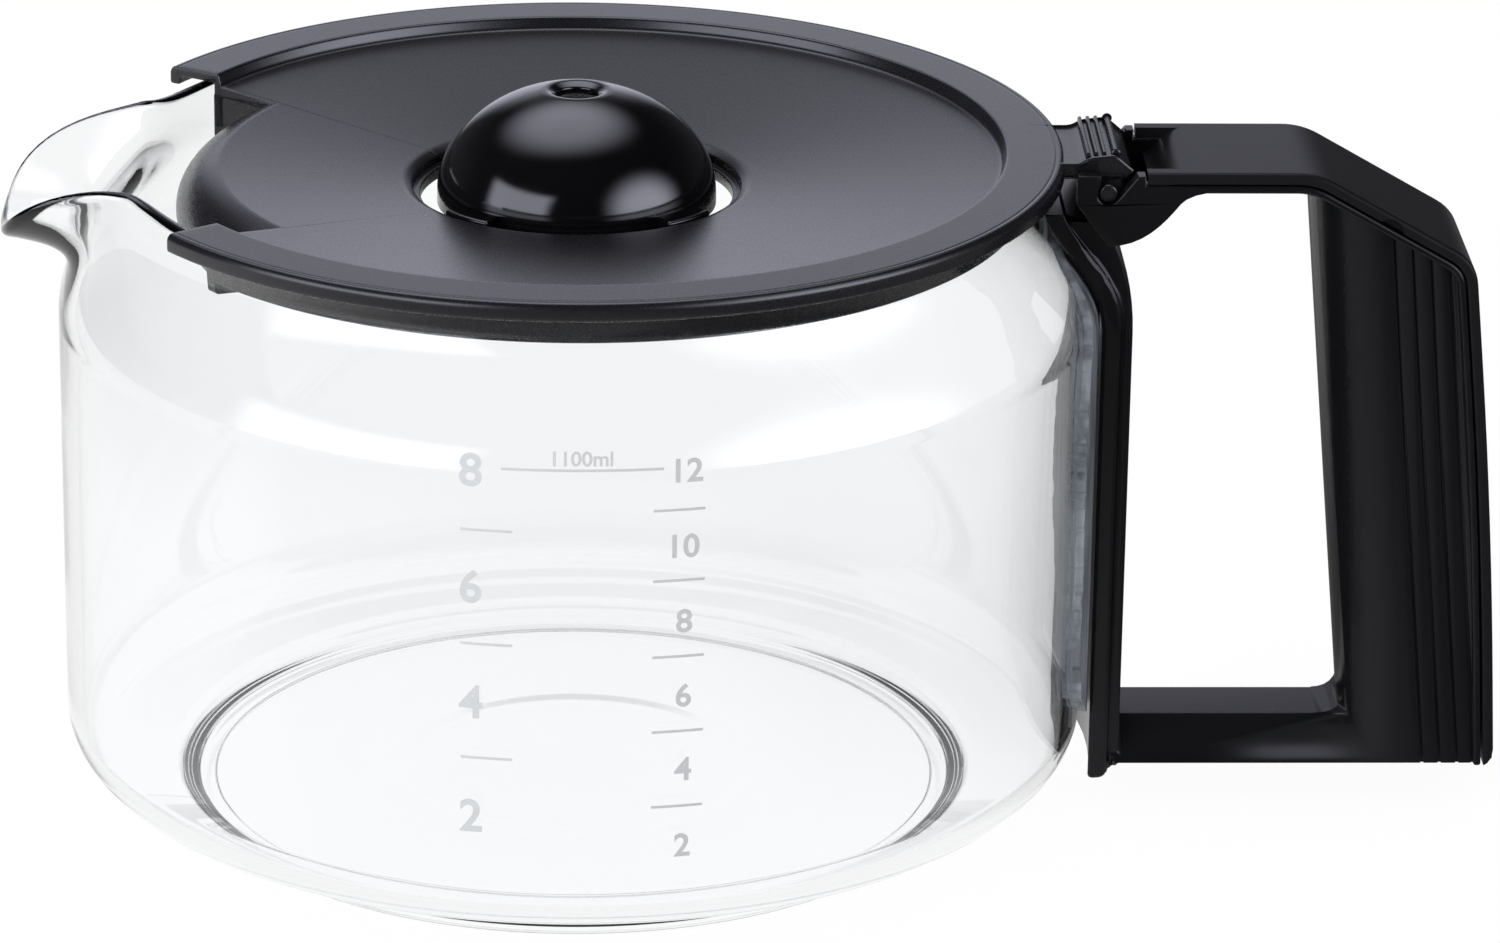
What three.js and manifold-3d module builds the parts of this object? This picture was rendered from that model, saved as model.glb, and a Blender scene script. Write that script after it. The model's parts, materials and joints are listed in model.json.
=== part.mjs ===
// Coffee carafe: glass jug with a drawn spout, glued handle with a snap-on cover, hinged lid and drip dome.
// Millimetres, +Z up, spout towards -X, handle towards +X, standing on Z = 0.
import * as THREE from 'three';
import { mergeVertices } from 'three/addons/utils/BufferGeometryUtils.js';
import Module from 'manifold-3d';

const wasm = await Module();
wasm.setup();

// Glass jug
const bodyDiameter = 150;
const glassWall = 2.4;
const rimHeight = 97.9;
const lipHeight = 3.9; // straight neck between the shoulder and the rim
const shoulderHeight = 19;
const neckInset = 9.1; // body radius less neck radius
const baseCorner = 8;
const wallStart = 15.2; // height where the upright wall begins
const footDiameter = 114;
const footWidth = 3.4;
const footHeight = 3.2;
const footChamfer = 0.6;
const footFlare = 1.6; // from the foot to the body's corner
const baseClearance = 1.2; // underside of the base above the table
const puntDiameter = 50.8; // shallow hollow under the base
const puntRise = 0.8;
const spoutReach = 17.1;
const spoutDrop = 9.3; // lip at the spout's tip below its sides
const spoutRise = 1; // lip at the spout's sides above the rim
const spoutHalfAngle = 14.1; // where the lip stands half way out
const spoutSharpness = 6.5;

// Lid
const seatGap = 0.3; // lid to glass rim
const lidOverhang = 4.6; // past the neck's outside
const rimBand = 8.8;
const rimThickness = 1.4;
const rimRound = 0.9;
const rimLip = 1.3; // turned down outside the glass
const rimLipWidth = 1.6;
const rimChamfer = 0.4;
const recessRound = 0.5;
const recessDepth = 1.8;
const plateThickness = 1.8;
const plateDish = 3.7; // fall of the plate from the rim to the hole
const holeDiameter = 47.4;
const holeChamfer = 1.3;
const collarWall = 1.5;
const collarDepth = 1.8;
const collarStep = 1.1; // ledge in the hole for the dome's feet
const collarStepDrop = 1.8;
const skirtClearance = 0.8;
const skirtWall = 1.7;
const skirtDepth = 6.9;
const notchHalfAngle = 33.5;
const notchTurn = 2.3; // of the notch's middle towards -Y
const apronInset = 10.2; // from the recess edge to the start of the roll
const apronRoll = 6.3;
const apronDrop = 1;
const notchWall = 1.8;

// Drip dome
const domeDiameter = 40.4;
const domeHeight = 15.8;
const domeWall = 1.8;
const domeSink = 1.8; // below the edge of the hole
const domeWallDrop = 1.4; // straight wall below the domed part
const ventDiameter = 5.8;
const ventDish = 1.9; // width of the dished seat round the vent
const ventDishDepth = 0.5;
const footAngles = [46, 134, 226, 314];
const footHalfAngle = 10;
const footThickness = 1.4;
const legWall = 1.5;
const legHalfAngle = 6;
const barbHeight = 1.5;
const barbHold = 0.9;

// Lid hinge
const hingeReach = 5.6; // past the lid's edge
const hingeDrop = 2.3; // below the lid's seat
const tabThickness = 2.4;
const pinDiameter = 2.6;
const pinClearance = 0.3;
const pinEngagement = 2.2; // into the cheek
const webThickness = 2.4;
const webRadius = 2.3;
const tabHalfWidth = 9.2;
const tabRibs = 3;
const tabRibPitch = 1.15;
const tabRibWidth = 0.6;
const tabRibHeight = 0.5;
const tabBarRadius = 0.75;

// Handle
const bondThickness = 1.2;
const bondHalfWidth = 10;
const bondBottom = 14;
const bondTop = 88;
const bondClearance = 0.35; // to the glass
const fit = 0.25; // between pieces that touch
const spineThickness = 3.8;
const spineHalfWidth = 11;
const spineFlange = 2.1; // of the wider layer against the glass
const spineWebHalfWidth = 10;
const spineBottom = 4.3;
const spineTop = 92.4;
const cheekGap = 0.4; // thumb tab to each cheek
const handleHalfWidth = 12.2;
const armTopDrop = 0.6; // below the lid's top
const wellLength = 12.1; // from the hinge to the top of the ramp behind the thumb tab
const wellFloor = 1.4;
const rampStart = 6.7;
const rampDrop = 3.7;
const railStart = 5.6;
const strapBend = 30.1; // from the hinge to the top bend of the strap
const strapKnee = 53.6;
const strapKneeDrop = 13.4;
const strapWaist = 57.9;
const strapWaistHeight = 45;
const strapHeel = 60.1;
const heelRound = 2.5;
const coverThickness = 1.6;
const flangeThickness = 1.1;
const coverRib = 1.2;
const coverRibDepth = 2.6;
const pryNotchRadius = 2; // half-moon in the cover's near edge, to lift it off by
const pryNotchDepth = 1.2;
const pryNotchShare = 0.72; // along the slope from the bend to the knee
const pryNotchRoof = 0.3; // left above the half-moon
const fingerGap = 25; // spine to grip, under the upper arm
const gripLean = 0.096; // run outwards per millimetre down
const gripHalfWidth = 11;
const gripNose = 9.5;
const gripWall = 2.2;
const gripGrooves = 5;
const gripGroovePitch = 2.6;
const gripGrooveWidth = 0.5;
const gripGrooveDepth = 0.35;
const gripNoseSteps = 24;
const armRibHalfWidth = 3;
const armRibDepth = 2.4;
const lowerArmBottom = 6.9;
const lowerArmHeight = 5.6;
const lowerArmTopHalfWidth = 5;
const gapCorner = 4;
const roundSteps = 6;

// Heights and radii that follow
const bodyRadius = bodyDiameter / 2;
const neckRadius = bodyRadius - neckInset;
const neckTop = rimHeight - lipHeight;
const shoulderStart = neckTop - shoulderHeight;
const lidSeat = rimHeight + seatGap;
const lidTop = lidSeat + rimThickness;
const lidRadius = neckRadius + lidOverhang;
const recessRadius = lidRadius - rimBand;
const recessFloor = lidTop - recessDepth;
const holeRadius = holeDiameter / 2;
const holeEdge = recessFloor - plateDish;
const ledge = holeEdge - collarStepDrop;
const ledgeRadius = holeRadius - collarStep;
const collarEnd = holeEdge - plateThickness - collarDepth;
const skirtRadius = neckRadius - glassWall - skirtClearance;
const apronRadius = recessRadius - apronInset;
const hingeX = lidRadius + hingeReach;
const hingeZ = lidSeat - hingeDrop;
const armTop = lidTop - armTopDrop;
const armFloor = armTop - coverThickness - fit; // what the cover lies on
const armUnder = armFloor - flangeThickness;
const spineBack = bodyRadius + bondThickness + 2 * fit + spineThickness;
const cheekInside = tabHalfWidth + cheekGap;
const slotRadius = pinDiameter / 2 + pinClearance;
const domeBase = holeEdge - domeSink;
const handleReach = hingeX + strapHeel;
const windowTop = armTop - strapKneeDrop - 6; // of the opening at the back of the grip

const vec = (x, y) => new THREE.Vector2(x, y);
const radians = THREE.MathUtils.degToRad;

// Plain outside radius of the glass at a height: straight wall, S-shaped shoulder, straight neck
function glassRadius(z) {
  const t = THREE.MathUtils.clamp((z - shoulderStart) / shoulderHeight, 0, 1);
  return neckRadius + neckInset * (1 + Math.cos(Math.PI * t)) / 2;
}

// The same outside moved out by a distance measured square to the glass
function skinRadius(z, distance) {
  const step = 0.1;
  const slope = (glassRadius(z + step) - glassRadius(z - step)) / (2 * step);
  return glassRadius(z) + distance * Math.hypot(1, slope);
}

function ellipseArc(centreX, centreY, radiusX, radiusY, from, to, steps) {
  return Array.from({ length: steps + 1 }, (_, i) => {
    const angle = radians(from + (to - from) * i / steps);
    return vec(centreX + radiusX * Math.cos(angle), centreY + radiusY * Math.sin(angle));
  });
}

// Polyline through corners, each rounded over the tangent length given as its third value
function roundedPath(corners) {
  const points = [];
  corners.forEach(([x, y, round = 0], i) => {
    const corner = vec(x, y);
    if (round === 0) {
      points.push(corner);
      return;
    }
    const before = vec(...corners[i - 1]).sub(corner).setLength(round).add(corner);
    const after = vec(...corners[i + 1]).sub(corner).setLength(round).add(corner);
    points.push(...new THREE.QuadraticBezierCurve(before, corner, after).getPoints(roundSteps));
  });
  return points;
}

// The same polyline moved to its right-hand side
function offsetPath(points, distance) {
  return points.map((point, i) => {
    const ahead = points[Math.min(i + 1, points.length - 1)];
    const behind = points[Math.max(i - 1, 0)];
    const along = ahead.clone().sub(behind).normalize();
    return vec(point.x + along.y * distance, point.y - along.x * distance);
  });
}

function solid(geometry) {
  geometry.deleteAttribute('normal');
  geometry.deleteAttribute('uv');
  const merged = mergeVertices(geometry, 1e-4);
  const corners = merged.index.array;
  const triangles = [];
  for (let i = 0; i < corners.length; i += 3) {
    const [a, b, c] = corners.slice(i, i + 3);
    if (a !== b && b !== c && c !== a) triangles.push(a, b, c);
  }
  return new wasm.Manifold(new wasm.Mesh({
    numProp: 3,
    vertProperties: Float32Array.from(merged.attributes.position.array),
    triVerts: Uint32Array.from(triangles),
  }));
}

const extruded = (shape, depth, curveSegments) =>
  new THREE.ExtrudeGeometry(shape, { depth, curveSegments, bevelEnabled: false });

// Outline in X and Z, spread along Y between two values
function plate(outline, from, to) {
  const geometry = extruded(new THREE.Shape(outline), to - from);
  return solid(geometry.rotateX(Math.PI / 2).translate(0, to, 0));
}

// Outline in Y and Z, run along X between two values
function beam(outline, from, to) {
  const geometry = extruded(new THREE.Shape(outline), to - from);
  const axes = new THREE.Matrix4().makeBasis(
    new THREE.Vector3(0, 1, 0), new THREE.Vector3(0, 0, 1), new THREE.Vector3(1, 0, 0));
  return solid(geometry.applyMatrix4(axes).translate(from, 0, 0));
}

// Profile in radius and height turned about the jug's axis
function turned(profile, segments) {
  const points = THREE.ShapeUtils.isClockWise(profile) ? profile.toReversed() : profile;
  const closed = points[0].x === 0 ? points : [...points, points[0]];
  return solid(new THREE.LatheGeometry(closed, segments).rotateX(Math.PI / 2));
}

// Part of a ring seen from above, about a middle angle in degrees
function ringSector(inner, outer, middle, halfAngle, bottom, top) {
  const start = radians(middle - halfAngle);
  const end = radians(middle + halfAngle);
  const shape = new THREE.Shape();
  shape.absarc(0, 0, outer, start, end, false);
  shape.absarc(0, 0, inner, end, start, true);
  const degreesPerSegment = 5;
  const geometry = extruded(shape, top - bottom, Math.ceil(2 * halfAngle / degreesPerSegment));
  return solid(geometry.translate(0, 0, bottom));
}

function pinAlongY(radius, x, z, from, to) {
  const geometry = new THREE.CylinderGeometry(radius, radius, to - from, 20);
  return solid(geometry.translate(x, (from + to) / 2, z));
}

function box(x0, x1, y0, y1, z0, z1) {
  const geometry = new THREE.BoxGeometry(x1 - x0, y1 - y0, z1 - z0);
  return solid(geometry.translate((x0 + x1) / 2, (y0 + y1) / 2, (z0 + z1) / 2));
}

const bothSides = (make) => make(1).add(make(-1));
const spread = (outline, side, near, far) => plate(outline, ...(side > 0 ? [near, far] : [-far, -near]));
const joined = (bodies) => bodies.reduce((sum, body) => sum.add(body));

// Middle of the glass wall from the shoulder (0) to the rim (1), pulled out and bent down at the spout
function wallPoint(u, pull, sag) {
  const z = shoulderStart + u * (rimHeight - glassWall / 2 - shoulderStart);
  return vec(glassRadius(z) - glassWall / 2 + pull * u * u, z - sag * u * u);
}

// Whole glass section at an angle from the spout, from the underside's centre to the floor's centre
function jugProfile(angle) {
  const share = 1 / (1 + (Math.abs(angle) / spoutHalfAngle) ** spoutSharpness);
  const pull = spoutReach * share;
  const sag = spoutDrop * (1 - Math.sqrt(1 - share * share)) - spoutRise * Math.min(1, 8 * share);
  const rows = 8;
  const outside = [];
  const inside = [];
  let lip = [];
  for (let row = 0; row <= rows; row += 1) {
    const u = row / rows;
    const middle = wallPoint(u, pull, sag);
    const along = wallPoint(u + 0.01, pull, sag).sub(wallPoint(u - 0.01, pull, sag)).normalize();
    const out = vec(along.y, -along.x).multiplyScalar(glassWall / 2);
    outside.push(middle.clone().add(out));
    inside.unshift(middle.clone().sub(out));
    const crown = along.multiplyScalar(glassWall / 2);
    lip = [45, 90, 135].map((turn) => middle.clone()
      .addScaledVector(out, Math.cos(radians(turn))).addScaledVector(crown, Math.sin(radians(turn))));
  }
  const footRadius = footDiameter / 2;
  const puntRadius = puntDiameter / 2;
  const cornerX = bodyRadius - baseCorner;
  const innerCorner = baseCorner - glassWall;
  const floor = baseClearance + glassWall;
  const cornerFoot = footHeight + 1.2; // height where the foot runs into the body's corner
  const underside = [
    vec(0, baseClearance + puntRise), vec(puntRadius - 2 * puntRise, baseClearance + puntRise),
    vec(puntRadius, baseClearance), vec(footRadius - footWidth - baseClearance, baseClearance),
    vec(footRadius - footWidth, 0), vec(footRadius - footChamfer, 0), vec(footRadius, footChamfer),
    vec(footRadius + footFlare / 8, footHeight), vec(footRadius + footFlare, cornerFoot),
    ...ellipseArc(cornerX, wallStart, baseCorner, baseCorner, -70, 0, 3),
  ];
  const insideBase = [
    ...ellipseArc(cornerX, wallStart, innerCorner, innerCorner, 0, -70, 3),
    vec(footRadius + footFlare, cornerFoot + glassWall), vec(footRadius - 1.4, floor + 0.8),
    vec(footRadius - 3, floor), vec(0, floor),
  ];
  return [...underside, ...outside, ...lip, ...inside, ...insideBase];
}

// Turned glass whose section changes round the spout, with closer columns there
function glassJug() {
  const closeColumns = [0.25, 0.45, 0.58, 0.68, 0.76, 0.83, 0.9, 0.97, 1.05, 1.15, 1.3, 1.5, 1.75];
  const oneSide = closeColumns.map((share) => share * spoutHalfAngle);
  const span = 2 * spoutHalfAngle;
  const columns = 34;
  const rest = Array.from({ length: columns + 1 }, (_, i) => span + (360 - 2 * span) * i / columns);
  const angles = [0, ...oneSide, ...rest, ...oneSide.map((a) => 360 - a).toReversed()];
  const profiles = angles.map((a) => jugProfile(a > 180 ? a - 360 : a));
  const geometry = new THREE.LatheGeometry(profiles[0], angles.length);
  const position = geometry.attributes.position;
  for (let c = 0; c <= angles.length; c += 1) {
    const column = c % angles.length;
    const turn = radians(180 + angles[column]);
    profiles[column].forEach((p, row) => position.setXYZ(
      c * profiles[0].length + row, p.x * Math.cos(turn), p.x * Math.sin(turn), p.y));
  }
  return solid(geometry);
}

// Everything within a distance of the glass outside, between two heights, as a turned solid
function glassEnvelope(distance, bottom, top) {
  const steps = 24;
  const side = Array.from({ length: steps + 1 }, (_, i) => {
    const z = bottom + (top - bottom) * i / steps;
    return vec(skinRadius(z, distance), z);
  });
  return turned([vec(0, bottom), ...side, vec(0, top)], 96);
}

function handleBond() {
  const bed = glassEnvelope(fit + bondThickness, bondBottom, bondTop);
  const glass = glassEnvelope(bondClearance, bondBottom - 1, bondTop + 1);
  const strip = box(bodyRadius / 2, spineBack, -bondHalfWidth, bondHalfWidth, bondBottom - 1, bondTop + 1);
  return bed.intersect(strip).subtract(glass);
}

// Outside of the strap from the well to the heel, seen from the side
function strapPath() {
  return roundedPath([
    [hingeX + wellLength, armTop], [hingeX + strapBend, armTop, 3],
    [hingeX + strapKnee, armTop - strapKneeDrop, 3.5], [hingeX + strapWaist, strapWaistHeight, 25],
    [handleReach, lowerArmBottom - heelRound],
  ]);
}

// Strip between two distances inside the strap's outside
function strapStrip(near, far) {
  const path = strapPath();
  return [...offsetPath(path, near), ...offsetPath(path, far).toReversed()];
}

// Area inside the strap at a distance, down to a height and in to a left edge
function insideStrap(distance, left, bottom) {
  const edge = offsetPath(strapPath(), distance);
  const [waist, heel] = edge.slice(-2);
  const foot = waist.clone().lerp(heel, (bottom - waist.y) / (heel.y - waist.y));
  const back = edge.slice(0, -1).filter((p) => p.x > left).toReversed();
  return [vec(left, bottom), foot, ...back, vec(left, back.at(-1).y)];
}

const gripFront = (z) => spineBack + fingerGap + (armTop - z) * gripLean;

// Column of the grip seen from above, leaning outwards towards its foot
function gripColumn(inset, grooves) {
  const half = gripHalfWidth - inset;
  const back = strapHeel;
  const flankStart = gripNose + 1.5;
  const flank = (side) => {
    const points = [];
    for (let i = 0; i < (grooves ? gripGrooves : 0); i += 1) {
      const x = flankStart + i * gripGroovePitch;
      points.push(vec(x, side * half), vec(x, side * (half - gripGrooveDepth)),
        vec(x + gripGrooveWidth, side * (half - gripGrooveDepth)), vec(x + gripGrooveWidth, side * half));
    }
    return points;
  };
  const nose = ellipseArc(gripNose, 0, gripNose - inset, half, 90, 270, gripNoseSteps);
  const outline = [vec(back, half), ...flank(1).toReversed(), ...nose, ...flank(-1), vec(back, -half)];
  const geometry = extruded(new THREE.Shape(outline), armTop);
  const lean = new THREE.Matrix4().set(1, 0, -gripLean, gripFront(0), 0, 1, 0, 0, 0, 0, 1, 0, 0, 0, 0, 1);
  return solid(geometry.applyMatrix4(lean));
}

// Everything above the handle's bottom, with the outer corner rounded
function heelTrim() {
  const outline = roundedPath([
    [0, lowerArmBottom], [handleReach, lowerArmBottom, heelRound], [handleReach, lidTop], [0, lidTop],
  ]);
  return plate(outline, -handleHalfWidth, handleHalfWidth);
}

// Grip open to the back, where the cover closes it
function grip() {
  const flange = coverThickness + fit;
  const gripPlate = (outline) => plate(outline, -gripHalfWidth, gripHalfWidth);
  const front = gripFront(armTop);
  const body = gripColumn(0, true).intersect(gripPlate(insideStrap(flange, front - 1, lowerArmBottom)));
  const rim = plate(strapStrip(flange, flange + flangeThickness), -handleHalfWidth, handleHalfWidth);
  const floor = lowerArmBottom + gripWall;
  const room = gripPlate(insideStrap(flange + flangeThickness, front + gripWall, floor));
  const windowFront = hingeX + strapKnee - gripNose;
  const window = box(windowFront, handleReach, -gripHalfWidth, gripHalfWidth, floor, windowTop);
  const hollow = gripColumn(gripWall, false).intersect(room.add(window));
  return body.add(rim).subtract(hollow).intersect(heelTrim());
}

// Rounded underside of the hinge bracket, from the spine to the upper arm
function bracketUnderside(rise) {
  const at = (x, z) => vec(hingeX + x, hingeZ + z + rise);
  const belly = new THREE.CubicBezierCurve(at(0.1, -7.9), at(5.2, -7.9), at(8, -4.6), at(10.5, -1.4));
  const end = vec(hingeX + 14, armUnder + Math.min(rise, flangeThickness));
  const turn = vec(hingeX + 11.5, Math.max(end.y - 0.4, belly.v3.y));
  const run = new THREE.QuadraticBezierCurve(belly.v3, turn, end);
  return [...belly.getPoints(8), ...run.getPoints(3).slice(1)];
}

// Side plate of the hinge with an open keyhole slot for the lid's pin
function cheekOutline() {
  const under = bracketUnderside(0);
  const left = lidRadius + 1.1;
  const slot = ellipseArc(hingeX, hingeZ, slotRadius, slotRadius, 140, 320, 10);
  const top = armTop - 0.4;
  const mouth = slot[slot.length - 1].clone().add(vec(top - hingeZ, top - hingeZ).multiplyScalar(1.1));
  mouth.y = top;
  const back = hingeX + railStart - fit;
  return [
    vec(left, hingeZ - 1.7), ...under, vec(under.at(-1).x, armFloor), vec(back, armFloor), vec(back, top),
    mouth, ...slot.toReversed(), vec(hingeX - 0.7 * slotRadius, top), vec(left, top),
  ];
}

// Spine from the side, out to a line down its back
function spineOutline(back, foot) {
  const inside = neckRadius - 5;
  const start = back[0];
  const end = back.at(-1);
  const heel = roundedPath([[end.x, end.y - 1], [end.x, foot, 1.6], [inside, foot]]);
  return [vec(inside, start.y), ...back, ...heel];
}

function handleFrame() {
  const bed = bondThickness + 2 * fit;
  const glass = glassEnvelope(bed, spineBottom - 1, spineTop + 1);
  const steps = 14;
  const flangeBack = Array.from({ length: steps + 1 }, (_, i) => {
    const z = spineTop + (shoulderStart - spineTop) * i / steps;
    return vec(skinRadius(z, bed + spineFlange), z);
  });
  const webBack = new THREE.CubicBezierCurve(vec(hingeX, hingeZ - 4.7), vec(hingeX + 2.9, hingeZ - 9.4),
    vec(spineBack, shoulderStart + 5), vec(spineBack, shoulderStart - 1)).getPoints(8);
  const flange = plate(spineOutline(flangeBack, spineBottom), -spineHalfWidth, spineHalfWidth);
  const web = plate(spineOutline(webBack, spineBottom + 1.4), -spineWebHalfWidth, spineWebHalfWidth);
  const cheeks = bothSides((side) => spread(cheekOutline(), side, cheekInside, handleHalfWidth));
  const floorOutline = [...bracketUnderside(0), ...bracketUnderside(wellFloor).toReversed()];
  const floor = plate(floorOutline, -handleHalfWidth, handleHalfWidth);
  const ribStrip = strapStrip(armTop - armUnder - flangeThickness / 2, armTop - armUnder + armRibDepth);
  const ribEnd = gripFront(armUnder) + gripWall;
  const ribReach = box(
    hingeX + wellLength, ribEnd, -armRibHalfWidth, armRibHalfWidth, strapWaistHeight, armTop);
  const armRib = plate(ribStrip, -armRibHalfWidth, armRibHalfWidth).intersect(ribReach);
  return joined([flange, web, cheeks, floor, grip(), armRib, lowerArm()]).subtract(glass);
}

// Lower arm with sloping sides, a flat bottom and a rounded inner corner at the grip
function lowerArm() {
  const top = lowerArmBottom + lowerArmHeight;
  const start = spineBack - 1;
  const end = gripFront(top) + gripNose;
  const high = top + 2 * gapCorner;
  const side = roundedPath([
    [start, lowerArmBottom], [end, lowerArmBottom], [end, high], [gripFront(top) + 0.5, high],
    [gripFront(top) + 0.5, top, gapCorner], [start, top],
  ]);
  const section = [
    vec(-gripHalfWidth, lowerArmBottom), vec(gripHalfWidth, lowerArmBottom), vec(lowerArmTopHalfWidth, top),
    vec(lowerArmTopHalfWidth, high), vec(-lowerArmTopHalfWidth, high), vec(-lowerArmTopHalfWidth, top),
  ];
  return plate(side, -gripHalfWidth, gripHalfWidth).intersect(beam(section, start, end));
}

// Half-moon cut into the near edge of the cover's slope, open towards the frame
function pryNotch() {
  const bend = vec(hingeX + strapBend, armTop);
  const knee = vec(hingeX + strapKnee, armTop - strapKneeDrop);
  const along = knee.clone().sub(bend).normalize();
  const centre = bend.clone().lerp(knee, pryNotchShare)
    .addScaledVector(vec(along.y, -along.x), pryNotchRadius + pryNotchRoof);
  return pinAlongY(pryNotchRadius, centre.x, centre.y, -handleHalfWidth - 1, pryNotchDepth - handleHalfWidth);
}

// Strap over the arm and the back of the grip, with two rails and a ramp behind the thumb tab,
// and ribs that locate it in the grip's opening
function handleCover() {
  const strap = plate(strapStrip(0, coverThickness), -handleHalfWidth, handleHalfWidth);
  const rampEnd = hingeX + wellLength + 0.5;
  const rampBottom = vec(hingeX + rampStart, armTop - rampDrop);
  const ramp = new THREE.CubicBezierCurve(rampBottom, vec(rampBottom.x + 2, rampBottom.y),
    vec(rampBottom.x + 2.6, armTop), vec(hingeX + wellLength, armTop)).getPoints(8);
  ramp.push(vec(rampEnd, armTop));
  const rampHalfWidth = cheekInside - fit;
  const rampOutline = [...ramp, ...offsetPath(ramp, coverThickness).toReversed()];
  const rampPlate = plate(rampOutline, -rampHalfWidth, rampHalfWidth);
  const railOutline = roundedPath([
    [rampEnd, armTop - coverThickness], [rampEnd, armTop], [hingeX + railStart, armTop],
    [hingeX + railStart, armTop - coverThickness, 0.9], [rampEnd, armTop - coverThickness],
  ]);
  const rails = bothSides((side) => spread(railOutline.slice(1), side, cheekInside, handleHalfWidth));
  const inside = gripHalfWidth - gripWall - fit;
  const strip = strapStrip(coverThickness - 0.2, coverThickness + coverRibDepth);
  const ribBottom = lowerArmBottom + gripWall + 4;
  const reach = box(hingeX + strapKnee - gripNose, handleReach, -inside, inside, ribBottom, windowTop - 1);
  const ribs = bothSides((side) => spread(strip, side, inside - coverRib, inside)).intersect(reach);
  return joined([strap, rampPlate, rails, ribs]).intersect(heelTrim()).subtract(pryNotch());
}

// Section of the lid: rim, recess, dished plate, collar and skirt
function lidSection() {
  const collarRadius = holeRadius + collarWall;
  const plateUnder = recessFloor - plateThickness;
  const skirtInside = skirtRadius - skirtWall;
  const skirtEnd = lidSeat - skirtDepth;
  const lipInside = lidRadius - rimLipWidth;
  const lipEnd = lidSeat - rimLip;
  return [
    vec(ledgeRadius, collarEnd), vec(collarRadius, collarEnd), vec(collarRadius, holeEdge - plateThickness),
    vec(skirtInside, plateUnder), vec(skirtInside, skirtEnd), vec(skirtRadius, skirtEnd),
    vec(skirtRadius, lidSeat), vec(lipInside - rimChamfer, lidSeat), vec(lipInside, lipEnd),
    vec(lidRadius - rimChamfer, lipEnd), vec(lidRadius, lipEnd + rimChamfer),
    ...ellipseArc(lidRadius - rimRound, lidTop - rimRound, rimRound, rimRound, 0, 90, 3),
    vec(recessRadius + recessRound, lidTop), vec(recessRadius, lidTop - recessRound),
    vec(recessRadius - 0.3, recessFloor + 0.4), vec(recessRadius - 0.8, recessFloor),
    vec(holeRadius + holeChamfer, holeEdge), vec(holeRadius, holeEdge - holeChamfer / 2),
    vec(holeRadius, ledge), vec(ledgeRadius, ledge),
  ];
}

// Rolled apron that drops from the plate into the spout
function apron() {
  const top = recessFloor - plateDish * (recessRadius - apronRadius) / (recessRadius - holeRadius);
  const bottom = top - apronRoll - apronDrop;
  const inner = apronRoll - plateThickness;
  const section = [
    vec(apronRadius - 2, top - 0.2),
    ...ellipseArc(apronRadius, top - apronRoll, apronRoll, apronRoll, 90, 0, 8),
    vec(apronRadius + apronRoll, bottom), vec(apronRadius + inner, bottom),
    ...ellipseArc(apronRadius, top - apronRoll, inner, inner, 0, 90, 6),
    vec(apronRadius - 2, top - plateThickness),
  ];
  const wedge = ringSector(
    apronRadius - 3, lidRadius, 180 + notchTurn, notchHalfAngle + 0.5, bottom - 1, lidTop);
  const walls = [1, -1].map((side) => {
    const length = skirtRadius - apronRadius + 0.6;
    const wall = new THREE.BoxGeometry(length, notchWall, top - 0.4 - bottom);
    wall.translate(apronRadius - 0.6 + length / 2, notchWall / 2 * side, (top - 0.4 + bottom) / 2);
    return solid(wall.rotateZ(Math.PI + radians(notchTurn + notchHalfAngle * side)));
  });
  return joined([turned(section, 72).intersect(wedge), ...walls]);
}

// Thumb tab between the cheeks, with ribs, a round bar, two webs and the stub pins
function hingeTab() {
  const root = lidRadius - 2;
  const crest = hingeX + 1.2;
  const crestTop = lidTop + 1.3;
  const ribHalfLength = tabHalfWidth - 0.7;
  const tabUnder = lidTop - tabThickness;
  const outline = roundedPath([
    [root, tabUnder], [root, lidTop], [hingeX - 4, lidTop], [hingeX - 2.6, lidTop + 0.9, 0.8],
    [crest, crestTop, 0.8], [hingeX + 4.1, lidTop - 1.2, 0.6], [hingeX + 2.6, tabUnder], [hingeX, tabUnder],
  ]);
  const tab = plate(outline, -tabHalfWidth, tabHalfWidth);
  const ribs = Array.from({ length: tabRibs }, (_, i) => {
    const start = crest - 1.1 - (i + 0.5) * tabRibPitch - tabRibWidth / 2;
    const ribTop = crestTop - 0.2 + tabRibHeight;
    return box(start, start + tabRibWidth, -ribHalfLength, ribHalfLength, lidTop + 0.2, ribTop);
  });
  const bar = pinAlongY(tabBarRadius, crest, crestTop, -ribHalfLength, ribHalfLength);
  const webOutline = [
    vec(hingeX - webRadius, tabUnder + 0.8),
    ...ellipseArc(hingeX, hingeZ, webRadius, webRadius, 180, 360, 10),
    vec(hingeX + webRadius, tabUnder + 0.8),
  ];
  const webs = bothSides((side) => spread(webOutline, side, tabHalfWidth - webThickness, tabHalfWidth));
  const stubStart = tabHalfWidth - webThickness / 2;
  const stubEnd = cheekInside + pinEngagement;
  const stub = (from, to) => pinAlongY(pinDiameter / 2, hingeX, hingeZ, from, to);
  const pins = stub(stubStart, stubEnd).add(stub(-stubEnd, -stubStart));
  return joined([tab, bar, webs, pins, ...ribs]);
}

function lid() {
  const notch = ringSector(apronRadius, lidRadius + 5, 180 + notchTurn, notchHalfAngle, 0, lidTop + 5);
  return joined([turned(lidSection(), 60).subtract(notch), apron(), hingeTab()]);
}

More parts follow.
